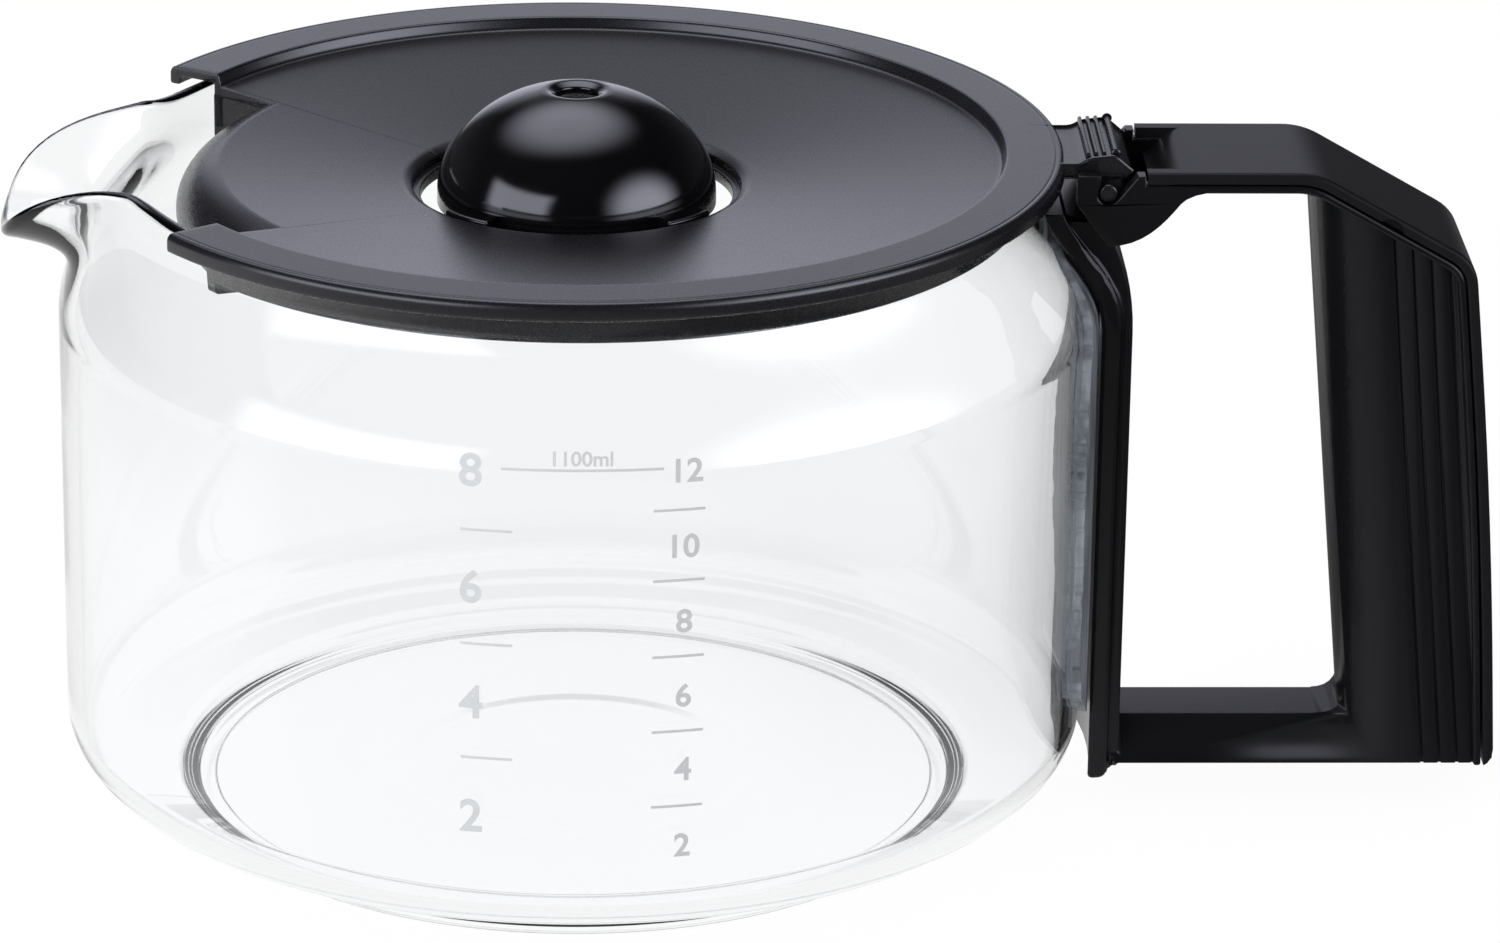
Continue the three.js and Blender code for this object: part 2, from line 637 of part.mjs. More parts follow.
// Domed cap with a dished vent, four feet on the hole's ledge and snap legs through the collar
function dripDome() {
  const radius = domeDiameter / 2;
  const vent = ventDiameter / 2;
  const heightAt = (x, a, c) => domeBase + c * Math.sqrt(1 - (x / a) ** 2);
  const edgeAngle = (x, a) => THREE.MathUtils.radToDeg(Math.acos(x / a));
  const inner = radius - domeWall;
  const innerHeight = domeHeight - domeWall;
  const dishEdge = vent + ventDish;
  const wallEnd = domeBase - domeWallDrop;
  const section = [
    vec(radius, wallEnd), ...ellipseArc(0, domeBase, radius, domeHeight, 0, edgeAngle(dishEdge, radius), 9),
    vec(vent, heightAt(dishEdge, radius, domeHeight) - ventDishDepth),
    ...ellipseArc(0, domeBase, inner, innerHeight, edgeAngle(vent, inner), 0, 6), vec(inner, wallEnd),
  ];
  const footBottom = ledge + fit;
  const footTop = footBottom + footThickness;
  const legOuter = ledgeRadius - fit - 0.1;
  const barbBottom = collarEnd - fit - barbHeight;
  const feet = footAngles.flatMap((angle) => [
    ringSector(radius - 1.2, holeRadius - fit - 0.1, angle, footHalfAngle, footBottom, footTop),
    ringSector(legOuter - legWall, legOuter, angle, legHalfAngle, barbBottom, footTop - footThickness / 2),
    ringSector(legOuter - legWall, ledgeRadius + barbHold, angle, legHalfAngle, barbBottom, collarEnd - fit),
  ]);
  return joined([turned(section, 44), ...feet]);
}

function piece(name, body, material) {
  const { vertProperties, triVerts } = body.getMesh();
  const geometry = new THREE.BufferGeometry();
  geometry.setAttribute('position', new THREE.BufferAttribute(vertProperties, 3));
  geometry.setIndex(new THREE.BufferAttribute(triVerts, 1));
  const mesh = new THREE.Mesh(geometry, new THREE.MeshStandardMaterial(material));
  mesh.name = name;
  return mesh;
}

// The jug's axis stands off the origin, so that the origin is under the middle of the whole carafe
const jugBody = glassJug();
const coverBody = handleCover();
const carafe = new THREE.Group();
carafe.position.x = -(jugBody.boundingBox().min[0] + coverBody.boundingBox().max[0]) / 2;
carafe.add(
  piece('glass_jug', jugBody, { color: 0xeef4f5, roughness: 0.03, transparent: true, opacity: 0.3 }),
  piece('handle_bond', handleBond(), { color: 0x8b8e90, roughness: 0.6 }),
  piece('handle_frame', handleFrame(), { color: 0x18181a, roughness: 0.45 }),
  piece('handle_cover', coverBody, { color: 0x1f1f22, roughness: 0.4 }),
  piece('lid', lid(), { color: 0x4a4a50, roughness: 0.5 }),
  piece('drip_dome', dripDome(), { color: 0x08080a, roughness: 0.08 }),
);

export default carafe;
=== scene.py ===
# %% [markdown]
# # A glass coffee carafe
# The carafe is a blown glass jug with a drawn spout, a black handle glued to its side,
# a hinged lid and a glossy drip dome in the middle of the lid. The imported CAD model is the
# frame: it fixes every size. This lesson builds smoother pieces over it and finishes them.

import json
import math

import bmesh
import bpy
import numpy as np
from mathutils import Matrix, Vector, noise

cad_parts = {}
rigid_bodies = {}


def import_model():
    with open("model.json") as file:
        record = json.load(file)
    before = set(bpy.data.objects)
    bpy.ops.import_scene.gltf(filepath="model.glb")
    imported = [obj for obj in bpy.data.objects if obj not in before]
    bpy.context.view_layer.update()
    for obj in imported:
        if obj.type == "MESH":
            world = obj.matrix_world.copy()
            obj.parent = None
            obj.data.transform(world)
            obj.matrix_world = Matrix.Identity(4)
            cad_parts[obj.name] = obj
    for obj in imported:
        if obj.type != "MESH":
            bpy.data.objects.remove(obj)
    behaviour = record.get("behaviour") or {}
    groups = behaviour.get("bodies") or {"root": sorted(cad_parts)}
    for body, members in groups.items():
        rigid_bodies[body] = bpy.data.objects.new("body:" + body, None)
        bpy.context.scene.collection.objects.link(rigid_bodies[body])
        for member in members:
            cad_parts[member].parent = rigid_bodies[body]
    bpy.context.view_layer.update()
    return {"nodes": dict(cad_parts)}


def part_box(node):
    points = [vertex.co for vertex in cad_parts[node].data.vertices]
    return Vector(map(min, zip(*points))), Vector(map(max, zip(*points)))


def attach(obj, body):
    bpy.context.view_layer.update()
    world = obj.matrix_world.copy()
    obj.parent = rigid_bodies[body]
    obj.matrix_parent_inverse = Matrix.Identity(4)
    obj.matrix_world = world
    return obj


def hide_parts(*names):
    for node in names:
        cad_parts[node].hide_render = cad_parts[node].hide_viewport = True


for leftover in list(bpy.data.objects):
    bpy.data.objects.remove(leftover)

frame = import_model()
dome_low, dome_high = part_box("drip_dome")
axis_x = (dome_low.x + dome_high.x) / 2
scene = bpy.context.scene
scene.view_settings.view_transform = "Standard"
print("nodes:", sorted(frame["nodes"]), "jug axis at x =", round(axis_x * 1000, 3), "mm")

# %% [markdown]
# ## Camera
# The photograph was taken with a long lens from a little over twenty degrees above the table.
# The camera is placed in millimetres round the jug's axis and then brought into the frame.

# %% Camera
view_position = Vector((0, -934.7, 403.6))
view_height = math.radians(20.762)
view_yaw = math.radians(1.4714)
view_pitch = math.radians(-0.0165)
view_roll = math.radians(0.8216)
carafe_turn = math.radians(0.6)


def camera_matrix():
    forward = Vector((0, math.cos(view_height), -math.sin(view_height)))
    right = Vector((1, 0, 0))
    up = right.cross(forward)
    forward = (forward + math.tan(view_yaw) * right + math.tan(view_pitch) * up).normalized()
    level = forward.cross(Vector((0, 0, 1))).normalized()
    upright = level.cross(forward)
    right = math.cos(view_roll) * level + math.sin(view_roll) * upright
    up = -math.sin(view_roll) * level + math.cos(view_roll) * upright
    matrix = Matrix((right, up, -forward)).transposed().to_4x4()
    matrix.translation = view_position * 0.001
    return Matrix.Translation((axis_x, 0, 0)) @ Matrix.Rotation(-carafe_turn, 4, "Z") @ matrix


camera = bpy.data.objects.new("camera", bpy.data.cameras.new("camera"))
scene.collection.objects.link(camera)
camera.data.sensor_width = 36
camera.data.lens = 163.2
camera.data.clip_end = 50
camera.matrix_world = camera_matrix()
scene.camera = camera
print("camera at", [round(v, 3) for v in camera.matrix_world.translation])

# %% [markdown]
# ## Small helpers
# Shapes are worked out in millimetres round the jug's axis, as in the CAD source, and only the
# last step turns them into metres at their place in the frame. Node trees are wired with one
# helper, so that each line reads as one node with its inputs.


# %% Helpers for meshes
def add_object(name, mesh):
    piece = bpy.data.objects.new(name, mesh)
    scene.collection.objects.link(piece)
    return piece


def make_mesh(name, points, faces, sharp=32.0):
    mesh = bpy.data.meshes.new(name)
    placed = np.asarray(points, float) * 0.001 + (axis_x, 0, 0)
    mesh.from_pydata(placed.tolist(), [], faces)
    tidy_mesh(mesh, sharp)
    return mesh


def tidy_mesh(mesh, sharp):
    work = bmesh.new()
    work.from_mesh(mesh)
    bmesh.ops.remove_doubles(work, verts=work.verts, dist=1e-6)
    bmesh.ops.recalc_face_normals(work, faces=work.faces)
    work.to_mesh(mesh)
    work.free()
    mesh.shade_smooth()
    mesh.set_sharp_from_angle(angle=math.radians(sharp))


def join(*shapes):
    points, faces = [], []
    for more_points, more_faces in shapes:
        start = len(points)
        points.extend(map(tuple, more_points))
        faces.extend([tuple(start + i for i in face) for face in more_faces])
    return points, faces


def soften(corners, steps=4, closed=True):
    """Polyline through (x, y, cut) corners, each rounded over its cut length."""
    points = []
    for i, (x, y, *cut) in enumerate(corners):
        cut = cut[0] if cut else 0
        corner = np.array((x, y), float)
        if cut == 0 or (not closed and i in (0, len(corners) - 1)):
            points.append(corner)
            continue
        before = np.array(corners[i - 1][:2], float) - corner
        after = np.array(corners[(i + 1) % len(corners)][:2], float) - corner
        start = corner + before * cut / np.linalg.norm(before)
        end = corner + after * cut / np.linalg.norm(after)
        for t in np.linspace(0, 1, steps + 1):
            points.append((1 - t) ** 2 * start + 2 * t * (1 - t) * corner + t**2 * end)
    return np.array(points)


def inset(outline, distance):
    """A closed outline, counter-clockwise, moved inwards."""
    along = np.roll(outline, -1, axis=0) - np.roll(outline, 1, axis=0)
    along /= np.linalg.norm(along, axis=1, keepdims=True)
    return outline + distance * np.column_stack((-along[:, 1], along[:, 0]))


def held(outline, closed=True, near=0.3):
    """Adds a point close to each end of a long straight, so that smooth shading stays flat on it."""
    points = []
    for i, start in enumerate(outline):
        points.append(start)
        if i == len(outline) - 1 and not closed:
            break
        run = outline[(i + 1) % len(outline)] - start
        length = np.linalg.norm(run)
        if length > 6 * near:
            points.append(start + run * near / length)
            points.append(start + run * (1 - near / length))
    return np.array(points)


def arc_points(middle, radius, start, end, count):
    """Points on part of a circle, from start to end in degrees."""
    turns = np.radians(np.linspace(start, end, count))
    return [(middle[0] + radius * math.cos(a), middle[1] + radius * math.sin(a)) for a in turns]


def counter_clockwise(outline):
    x, y = outline[:, 0], outline[:, 1]
    area = np.sum(x * np.roll(y, -1) - y * np.roll(x, -1))
    return outline if area > 0 else outline[::-1]


def skinned(rings, closed):
    """Faces between rings of equal length, with flat ends unless the rings close on themselves."""
    count, size = len(rings), len(rings[0])
    points = [tuple(p) for ring in rings for p in ring]
    faces = []
    for r in range(count if closed else count - 1):
        a, b = r * size, (r + 1) % count * size
        faces.extend([(a + i, a + (i + 1) % size, b + (i + 1) % size, b + i) for i in range(size)])
    if not closed:
        faces.append(tuple(range(size))[::-1])
        faces.append(tuple((count - 1) * size + i for i in range(size)))
    return points, faces


def turned(outline, start=0.0, end=360.0, step=1.5, edge=0.0):
    """An outline in radius and height, turned about the axis, with its ends rounded by edge."""
    outline = held(counter_clockwise(np.asarray(outline, float)))
    closed = end - start >= 360
    steps = round((end - start) / step)
    stations = [(a, 0.0) for a in np.linspace(start, end, steps + 1)]
    if closed:
        stations.pop()
    elif edge:
        reach = math.degrees(edge / outline[:, 0].mean())
        turns = np.radians((0, 22.5, 45, 67.5, 90))
        first = [(start + reach * (1 - math.sin(t)), edge * (1 - math.cos(t))) for t in turns[::-1]]
        last = [(end - reach * (1 - math.sin(t)), edge * (1 - math.cos(t))) for t in turns]
        middle = [s for s in stations if start + reach < s[0] < end - reach]
        stations = first + middle + last
    rings = []
    for angle, shrink in stations:
        ring = inset(outline, shrink)
        a = math.radians(angle)
        rings.append(np.column_stack((ring[:, 0] * math.cos(a), ring[:, 0] * math.sin(a), ring[:, 1])))
    return skinned(rings, closed)


def across(outline, low, high, edge=0.0):
    """An outline in X and Z, run along Y, inset by edge between a rolled lip at each end."""
    outline = held(counter_clockwise(np.asarray(outline, float)))
    turns = np.radians((0, 30, 60, 90)) if edge else [math.pi / 2]
    lip_steps = [(edge * (1 - math.sin(t)), edge * (1 - math.cos(t))) for t in turns]
    stations = [(low + run, shrink) for run, shrink in lip_steps]
    stations += [(high - run, shrink) for run, shrink in lip_steps[::-1]]
    rings = []
    for y, shrink in stations:
        ring = inset(outline, shrink)
        rings.append(np.column_stack((ring[:, 0], np.full(len(ring), y), ring[:, 1])))
    return skinned(rings, False)


# %% Helpers for nodes
def node(tree, kind, inputs=None, **settings):
    made = tree.nodes.new(kind)
    for key, value in settings.items():
        setattr(made, key, value)
    for key, value in (inputs or {}).items():
        if isinstance(value, bpy.types.NodeSocket):
            tree.links.new(value, made.inputs[key])
        else:
            made.inputs[key].default_value = value
    return made


def math_node(tree, operation, *values):
    return node(tree, "ShaderNodeMath", dict(enumerate(values)), operation=operation).outputs[0]


def vector_node(tree, operation, *values):
    return node(tree, "ShaderNodeVectorMath", dict(enumerate(values)), operation=operation).outputs[0]


def noise_node(tree, place, scale, detail):
    inputs = {"Vector": place, "Scale": scale, "Detail": detail}
    return node(tree, "ShaderNodeTexNoise", inputs).outputs["Fac"]


def ranged(tree, value, start, end, low, high, curve="LINEAR"):
    inputs = {"Value": value, 1: start, 2: end, 3: low, 4: high}
    return node(tree, "ShaderNodeMapRange", inputs, interpolation_type=curve).outputs[0]


def two_tones(tree, value, dark, light, start=0.0, end=1.0):
    ramp = node(tree, "ShaderNodeValToRGB", {"Fac": value})
    first, last = ramp.color_ramp.elements
    first.position = start
    first.color = (*dark, 1)
    last.position = end
    last.color = (*light, 1)
    return ramp.outputs[0]


def scaled(tree, vector, factor):
    inputs = {0: vector, "Scale": factor}
    return node(tree, "ShaderNodeVectorMath", inputs, operation="SCALE").outputs[0]


def geometry_tree(name, inputs):
    tree = bpy.data.node_groups.new(name, "GeometryNodeTree")
    tree.interface.new_socket("Geometry", in_out="INPUT", socket_type="NodeSocketGeometry")
    for label, kind in inputs:
        tree.interface.new_socket(label, in_out="INPUT", socket_type="NodeSocket" + kind)
    tree.interface.new_socket("Geometry", in_out="OUTPUT", socket_type="NodeSocketGeometry")
    return tree, tree.nodes.new("NodeGroupInput").outputs


def close_tree(tree, geometry, material):
    real = node(tree, "GeometryNodeRealizeInstances", {"Geometry": geometry}).outputs[0]
    inputs = {"Geometry": real, "Material": material}
    dressed = node(tree, "GeometryNodeSetMaterial", inputs).outputs[0]
    node(tree, "NodeGroupOutput", {"Geometry": dressed})


def grown(name, start_mesh, tree, values):
    """Runs a tree on a mesh once and keeps the result as a plain mesh."""
    source = add_object(name + "_start", start_mesh)
    modifier = source.modifiers.new(tree.name, "NODES")
    modifier.node_group = tree
    for item in tree.interface.items_tree:
        if item.in_out == "INPUT" and item.name in values:
            modifier[item.identifier] = values[item.name]
    evaluated = source.evaluated_get(bpy.context.evaluated_depsgraph_get())
    mesh = bpy.data.meshes.new_from_object(evaluated)
    bpy.data.objects.remove(source)
    mesh.name = name
    return mesh


# %% [markdown]
# ## Finishes
# Every plastic piece is moulded, so one shared group gives them all a moulded skin: a fine grain
# in the height, a slow drift in the sheen and a trace of dust in the colour. Each material places
# the group with its own values and keeps its own Principled shader.


# %% A shared group: moulded skin
def moulded_skin_group():
    tree = bpy.data.node_groups.new("Moulded skin", "ShaderNodeTree")
    tree.interface.new_socket("Colour", in_out="INPUT", socket_type="NodeSocketColor")
    for label in ("Grain Size", "Roughness", "Drift", "Dust"):
        tree.interface.new_socket(label, in_out="INPUT", socket_type="NodeSocketFloat")
    for label, kind in (("Colour", "Color"), ("Roughness", "Float"), ("Height", "Float")):
        tree.interface.new_socket(label, in_out="OUTPUT", socket_type="NodeSocket" + kind)
    given = tree.nodes.new("NodeGroupInput").outputs
    place = node(tree, "ShaderNodeTexCoord").outputs["Object"]
    density = math_node(tree, "DIVIDE", 1.0, given["Grain Size"])
    grain = noise_node(tree, place, density, 3.0)
    drift = noise_node(tree, place, 42.0, 4.0)
    specks = node(tree, "ShaderNodeTexVoronoi", {"Vector": place, "Scale": 620.0}).outputs["Distance"]
    slow = math_node(tree, "SUBTRACT", drift, 0.5)
    sheen = math_node(tree, "MULTIPLY_ADD", slow, given["Drift"], given["Roughness"])
    fine = math_node(tree, "MULTIPLY_ADD", math_node(tree, "SUBTRACT", grain, 0.5), 0.06, sheen)
    near = ranged(tree, specks, 0.06, 0.02, 0.0, 1.0)
    patch = ranged(tree, drift, 0.52, 0.7, 0.0, 1.0)
    amount = math_node(tree, "MULTIPLY", math_node(tree, "MULTIPLY", near, patch), given["Dust"])
    inputs = {0: 1.0, 6: given["Colour"], 7: math_node(tree, "MULTIPLY_ADD", grain, 0.3, 0.85)}
    shade = node(tree, "ShaderNodeMix", inputs, data_type="RGBA", blend_type="MULTIPLY").outputs[2]
    inputs = {0: amount, 6: shade, 7: (0.2, 0.2, 0.2, 1)}
    dusty = node(tree, "ShaderNodeMix", inputs, data_type="RGBA").outputs[2]
    node(tree, "NodeGroupOutput", {"Colour": dusty, "Roughness": fine, "Height": grain})
    return tree


moulded_skin = moulded_skin_group()
print("group:", moulded_skin.name)


# %% Plastics
def new_material(name):
    material = bpy.data.materials.new(name)
    material.use_nodes = True
    tree = material.node_tree
    tree.nodes.clear()
    shader = node(tree, "ShaderNodeBsdfPrincipled")
    node(tree, "ShaderNodeOutputMaterial", {"Surface": shader.outputs[0]})
    return material, tree, shader


def plastic(name, colour, grain_size, roughness, drift, dust, relief, gloss):
    material, tree, shader = new_material(name)
    inputs = {"Colour": (*colour, 1), "Grain Size": grain_size, "Roughness": roughness}
    inputs |= {"Drift": drift, "Dust": dust}
    skin = node(tree, "ShaderNodeGroup", inputs, node_tree=moulded_skin)
    inputs = {"Height": skin.outputs["Height"], "Strength": relief, "Distance": 0.00004}
    bump = node(tree, "ShaderNodeBump", inputs)
    tree.links.new(skin.outputs["Colour"], shader.inputs["Base Color"])
    tree.links.new(skin.outputs["Roughness"], shader.inputs["Roughness"])
    tree.links.new(bump.outputs[0], shader.inputs["Normal"])
    shader.inputs["Specular IOR Level"].default_value = gloss
    return material


lid_plastic = plastic(
    "satin lid plastic", (0.008, 0.008, 0.01),
    grain_size=0.00035, roughness=0.27, drift=0.05, dust=0.12, relief=0.16, gloss=0.5,
)
dome_plastic = plastic(
    "glossy dome plastic", (0.003, 0.003, 0.0035),
    grain_size=0.002, roughness=0.1, drift=0.03, dust=0.2, relief=0.02, gloss=0.5,
)
frame_plastic = plastic(
    "satin handle plastic", (0.006, 0.006, 0.007),
    grain_size=0.0004, roughness=0.25, drift=0.05, dust=0.06, relief=0.12, gloss=0.18,
)
cover_plastic = plastic(
    "satin cover plastic", (0.011, 0.011, 0.0125),
    grain_size=0.0004, roughness=0.29, drift=0.05, dust=0.06, relief=0.12, gloss=0.06,
)
print("plastics made")


# %% [markdown]
# The jug is clear heatproof glass. It is a closed shell with a real wall, so Cycles bends the
# light at both faces, as the lid's skirt and the adhesive strip seen at the edge show. Slight waves
# come from the blowing, and lamps reach through it so that its shadow stays light.


# %% Glass
def glass_material():
    material, tree, shader = new_material("clear jug glass")
    place = node(tree, "ShaderNodeTexCoord").outputs["Object"]
    waves = noise_node(tree, place, 22.0, 1.5)
    film = noise_node(tree, place, 60.0, 5.0)
    haze = ranged(tree, film, 0.45, 0.8, 0.0, 0.03)
    bump = node(tree, "ShaderNodeBump", {"Height": waves, "Strength": 0.06, "Distance": 0.002})
    tree.links.new(haze, shader.inputs["Roughness"])
    tree.links.new(bump.outputs[0], shader.inputs["Normal"])
    shader.inputs["Base Color"].default_value = (0.985, 0.99, 0.995, 1)
    shader.inputs["Transmission Weight"].default_value = 1.0
    shader.inputs["IOR"].default_value = 1.48
    shader.inputs["Specular IOR Level"].default_value = 0.38
    output = next(n for n in tree.nodes if n.type == "OUTPUT_MATERIAL")
    clear = node(tree, "ShaderNodeBsdfTransparent", {"Color": (0.97, 0.985, 0.985, 1)})
    shadow = node(tree, "ShaderNodeLightPath").outputs["Is Shadow Ray"]
    inputs = {0: shadow, 1: shader.outputs[0], 2: clear.outputs[0]}
    mixed = node(tree, "ShaderNodeMixShader", inputs)
    tree.links.new(mixed.outputs[0], output.inputs["Surface"])
    return material


jug_glass_material = glass_material()

# %% [markdown]
# ## The glass jug
# A jug is one section turned round an axis, except at the spout, where the rim is pulled out and
# bent down. That is a rule, so Geometry Nodes make it: the section is a string of points, each
# with its share of the way up to the rim, and a grid of columns repeats it round the axis. Each
# column asks how near the spout it is and moves its wall by that much.

# %% Section of the jug
body_radius = 75.0
wall = 2.4
rim_height = 97.9
neck_radius = 65.9
shoulder_height = 19.0
shoulder_start = rim_height - 3.9 - shoulder_height


def glass_radius(z):
    t = min(max((z - shoulder_start) / shoulder_height, 0), 1)
    return neck_radius + (body_radius - neck_radius) * (1 + math.cos(math.pi * t)) / 2


def base_points(corners):
    outline = held(soften(corners, steps=5, closed=False), closed=False)
    return [((r, 0, z), (0, 0, 1), 0, 0, 0) for r, z in outline]


def wall_point(share, side, beyond=0.0):
    rise = rim_height - wall / 2 - shoulder_start
    z = shoulder_start + share * rise
    slope = (glass_radius(z + 0.05) - glass_radius(z - 0.05)) / 0.1
    return ((glass_radius(z) - wall / 2, 0, z), (slope * rise, 0, rise), share, side, beyond)


def straight_wall(radius, start, end):
    return [((radius, 0, z), (0, 0, 1), 0, 0, 0) for z in np.linspace(start, end, 13)[1:-1]]


corner_radius, corner_height = 8.0, 15.2
corner_middle = (body_radius - corner_radius, corner_height)
outside_corner = arc_points(corner_middle, corner_radius, -66, 0, 14)
inside_corner = arc_points(corner_middle, corner_radius - wall, 0, -66, 14)
underside = base_points([
    (0, 0.82), (24.0, 0.82, 0.8), (27.0, 0.7, 0.8), (53.3, 0.7, 0.1), (53.5, 0, 0.2), (56.4, 0, 0.5),
    (57, 0.8, 0.6), (57.4, 3.2, 1.4), (59.0, 4.5, 1.2), *outside_corner,
])
floor_side = base_points([*inside_corner, (54.9, 3.65, 2.2), (0, 3.6)])
shares = np.linspace(0, 1, 33)
outer_wall = [wall_point(s, wall / 2) for s in shares]
lip_turns = np.radians(np.linspace(0, 180, 13)[1:-1])
lip = [wall_point(1, wall / 2 * math.cos(t), wall / 2 * math.sin(t)) for t in lip_turns]
inner_wall = [wall_point(s, -wall / 2) for s in shares[::-1]]
straight_out = straight_wall(body_radius, corner_height, shoulder_start)
straight_in = straight_wall(body_radius - wall, shoulder_start, corner_height)
section = underside + straight_out + outer_wall + lip + inner_wall + straight_in + floor_side

section_mesh = bpy.data.meshes.new("jug_section")
section_mesh.from_pydata([tuple(v * 0.001 for v in s[0]) for s in section], [], [])
for label, kind, values in (
    ("run", "FLOAT_VECTOR", [tuple(v * 0.001 for v in s[1]) for s in section]),
    ("share", "FLOAT", [s[2] for s in section]),
    ("side", "FLOAT", [s[3] * 0.001 for s in section]),
    ("beyond", "FLOAT", [s[4] * 0.001 for s in section]),
):
    layer = section_mesh.attributes.new(label, kind, "POINT")
    layer.data.foreach_set("vector" if kind == "FLOAT_VECTOR" else "value", np.ravel(values))
print("section points:", len(section))


# %% Geometry Nodes: turn the section and draw the spout
def jug_tree():
    tree, given = geometry_tree("Drawn jug", [
        ("Columns", "Int"), ("Rows", "Int"), ("Spout Reach", "Float"), ("Spout Drop", "Float"),
        ("Spout Rise", "Float"), ("Spout Half Angle", "Float"), ("Spout Sharpness", "Float"),
        ("Axis", "Vector"), ("Material", "Material"),
    ])

    def m(operation, *values):
        return math_node(tree, operation, *values)

    around = m("ADD", given["Columns"], 1)
    inputs = {"Vertices X": around, "Vertices Y": given["Rows"]}
    grid = node(tree, "GeometryNodeMeshGrid", inputs).outputs[0]
    index = node(tree, "GeometryNodeInputIndex").outputs[0]
    column = m("FLOOR", m("DIVIDE", m("ADD", index, 0.5), given["Rows"]))
    row = m("SUBTRACT", index, m("MULTIPLY", column, given["Rows"]))
    angle = m("DIVIDE", m("MULTIPLY", column, 2 * math.pi), given["Columns"])

    def on_section(name, kind):
        if name == "position":
            value = node(tree, "GeometryNodeInputPosition").outputs[0]
        else:
            named = node(tree, "GeometryNodeInputNamedAttribute", {"Name": name}, data_type=kind)
            value = named.outputs[0]
        inputs = {"Geometry": given["Geometry"], "Value": value, "Index": row}
        return node(tree, "GeometryNodeSampleIndex", inputs, data_type=kind).outputs[0]

    middle = on_section("position", "FLOAT_VECTOR")
    run = on_section("run", "FLOAT_VECTOR")
    share = on_section("share", "FLOAT")
    side = on_section("side", "FLOAT")
    beyond = on_section("beyond", "FLOAT")

    turn = m("PINGPONG", angle, math.pi)
    near = m("POWER", m("DIVIDE", turn, given["Spout Half Angle"]), given["Spout Sharpness"])
    part = m("DIVIDE", 1.0, m("ADD", near, 1.0))
    pull = m("MULTIPLY", given["Spout Reach"], part)
    rest = m("MAXIMUM", m("SUBTRACT", 1.0, m("MULTIPLY", part, part)), 0.0)
    bend = m("SUBTRACT", 1.0, m("SQRT", rest))
    lift = m("MULTIPLY", given["Spout Rise"], m("MINIMUM", m("MULTIPLY", part, 8.0), 1.0))
    sag = m("SUBTRACT", m("MULTIPLY", given["Spout Drop"], bend), lift)
    shift = node(tree, "ShaderNodeCombineXYZ", {0: pull, 2: m("MULTIPLY", sag, -1.0)}).outputs[0]
    along = vector_node(tree, "ADD", run, scaled(tree, shift, m("MULTIPLY", share, 2.0)))
    along = vector_node(tree, "NORMALIZE", along)
    parts = node(tree, "ShaderNodeSeparateXYZ", {0: along}).outputs
    inputs = {0: parts[2], 2: m("MULTIPLY", parts[0], -1.0)}
    out = node(tree, "ShaderNodeCombineXYZ", inputs).outputs[0]
    flat = vector_node(tree, "ADD", middle, scaled(tree, shift, m("MULTIPLY", share, share)))
    flat = vector_node(tree, "ADD", flat, scaled(tree, out, side))
    flat = vector_node(tree, "ADD", flat, scaled(tree, along, beyond))
    half_turn = m("ADD", angle, math.pi)
    inputs = {"Vector": flat, "Angle": half_turn}
    round_axis = node(tree, "ShaderNodeVectorRotate", inputs, rotation_type="Z_AXIS").outputs[0]
    place = vector_node(tree, "ADD", round_axis, given["Axis"])
    shaped = node(tree, "GeometryNodeSetPosition", {"Geometry": grid, "Position": place}).outputs[0]
    inputs = {"Geometry": shaped, "Distance": 1e-6}
    sealed = node(tree, "GeometryNodeMergeByDistance", inputs).outputs[0]
    smooth = node(tree, "GeometryNodeSetShadeSmooth", {"Geometry": sealed}).outputs[0]
    close_tree(tree, smooth, given["Material"])
    return tree


jug_mesh = grown("jug_glass", section_mesh, jug_tree(), {
    "Columns": 400, "Rows": len(section), "Spout Reach": 0.0171, "Spout Drop": 0.0093, "Spout Rise": 0.001,
    "Spout Half Angle": math.radians(14.1), "Spout Sharpness": 6.5,
    "Axis": (axis_x, 0, 0), "Material": jug_glass_material,
})
tidy_mesh(jug_mesh, 60)
jug_glass = add_object("jug_glass", jug_mesh)
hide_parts("glass_jug")
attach(jug_glass, "jug")
print("jug faces:", len(jug_mesh.polygons))

# %% [markdown]
# ## The lid
# The lid is one moulding: a rim that rests on the glass, a dished plate with a hole for the dome,
# a skirt inside the neck, and a notch over the spout that is closed by a rolled apron. All of
# that is turned, so the section is drawn with rounded corners and turned over two ranges of angle.

# %% Lid section
collar_low = [(22.6, 90.5, 0.4), (25.2, 90.5, 0.4), (25.2, 92.3, 0.5)]
collar_top = [(25.0, 94.1, 0.5), (23.7, 93.45, 0.3), (23.7, 92.3, 0.2), (22.6, 92.3, 0.3)]
lid_section = soften([
    *collar_low, (61.0, 96.0, 0.5), (61.0, 91.3, 0.4), (62.7, 91.3, 0.4), (62.7, 98.2, 0.3),
    (68.5, 98.2, 0.3), (68.9, 96.9, 0.3), (70.5, 96.9, 0.5), (70.5, 98.9, 0.4), (70.0, 99.55, 0.3),
    (69.45, 99.6, 0.1), (69.2, 99.53, 0.1), (68.95, 99.6, 0.1),
    (62.0, 99.6, 0.4), (61.5, 97.8, 0.6), *collar_top,
])
apron_radius = 51.5
apron_top = 97.8 - 3.7 * (61.7 - apron_radius) / (61.7 - 23.7)
roll = 6.3
crease_angle = 13
crease = math.radians(crease_angle)


def roll_arc(radius, start, end, steps):
    points = []
    for a in np.linspace(math.radians(start), math.radians(end), steps):
        out = (math.sin(a) - math.sin(crease)) / (1 - math.sin(crease))
        up = math.cos(a) / math.cos(crease)
        points.append((apron_radius + radius * out, apron_top - roll + radius * up))
    return points


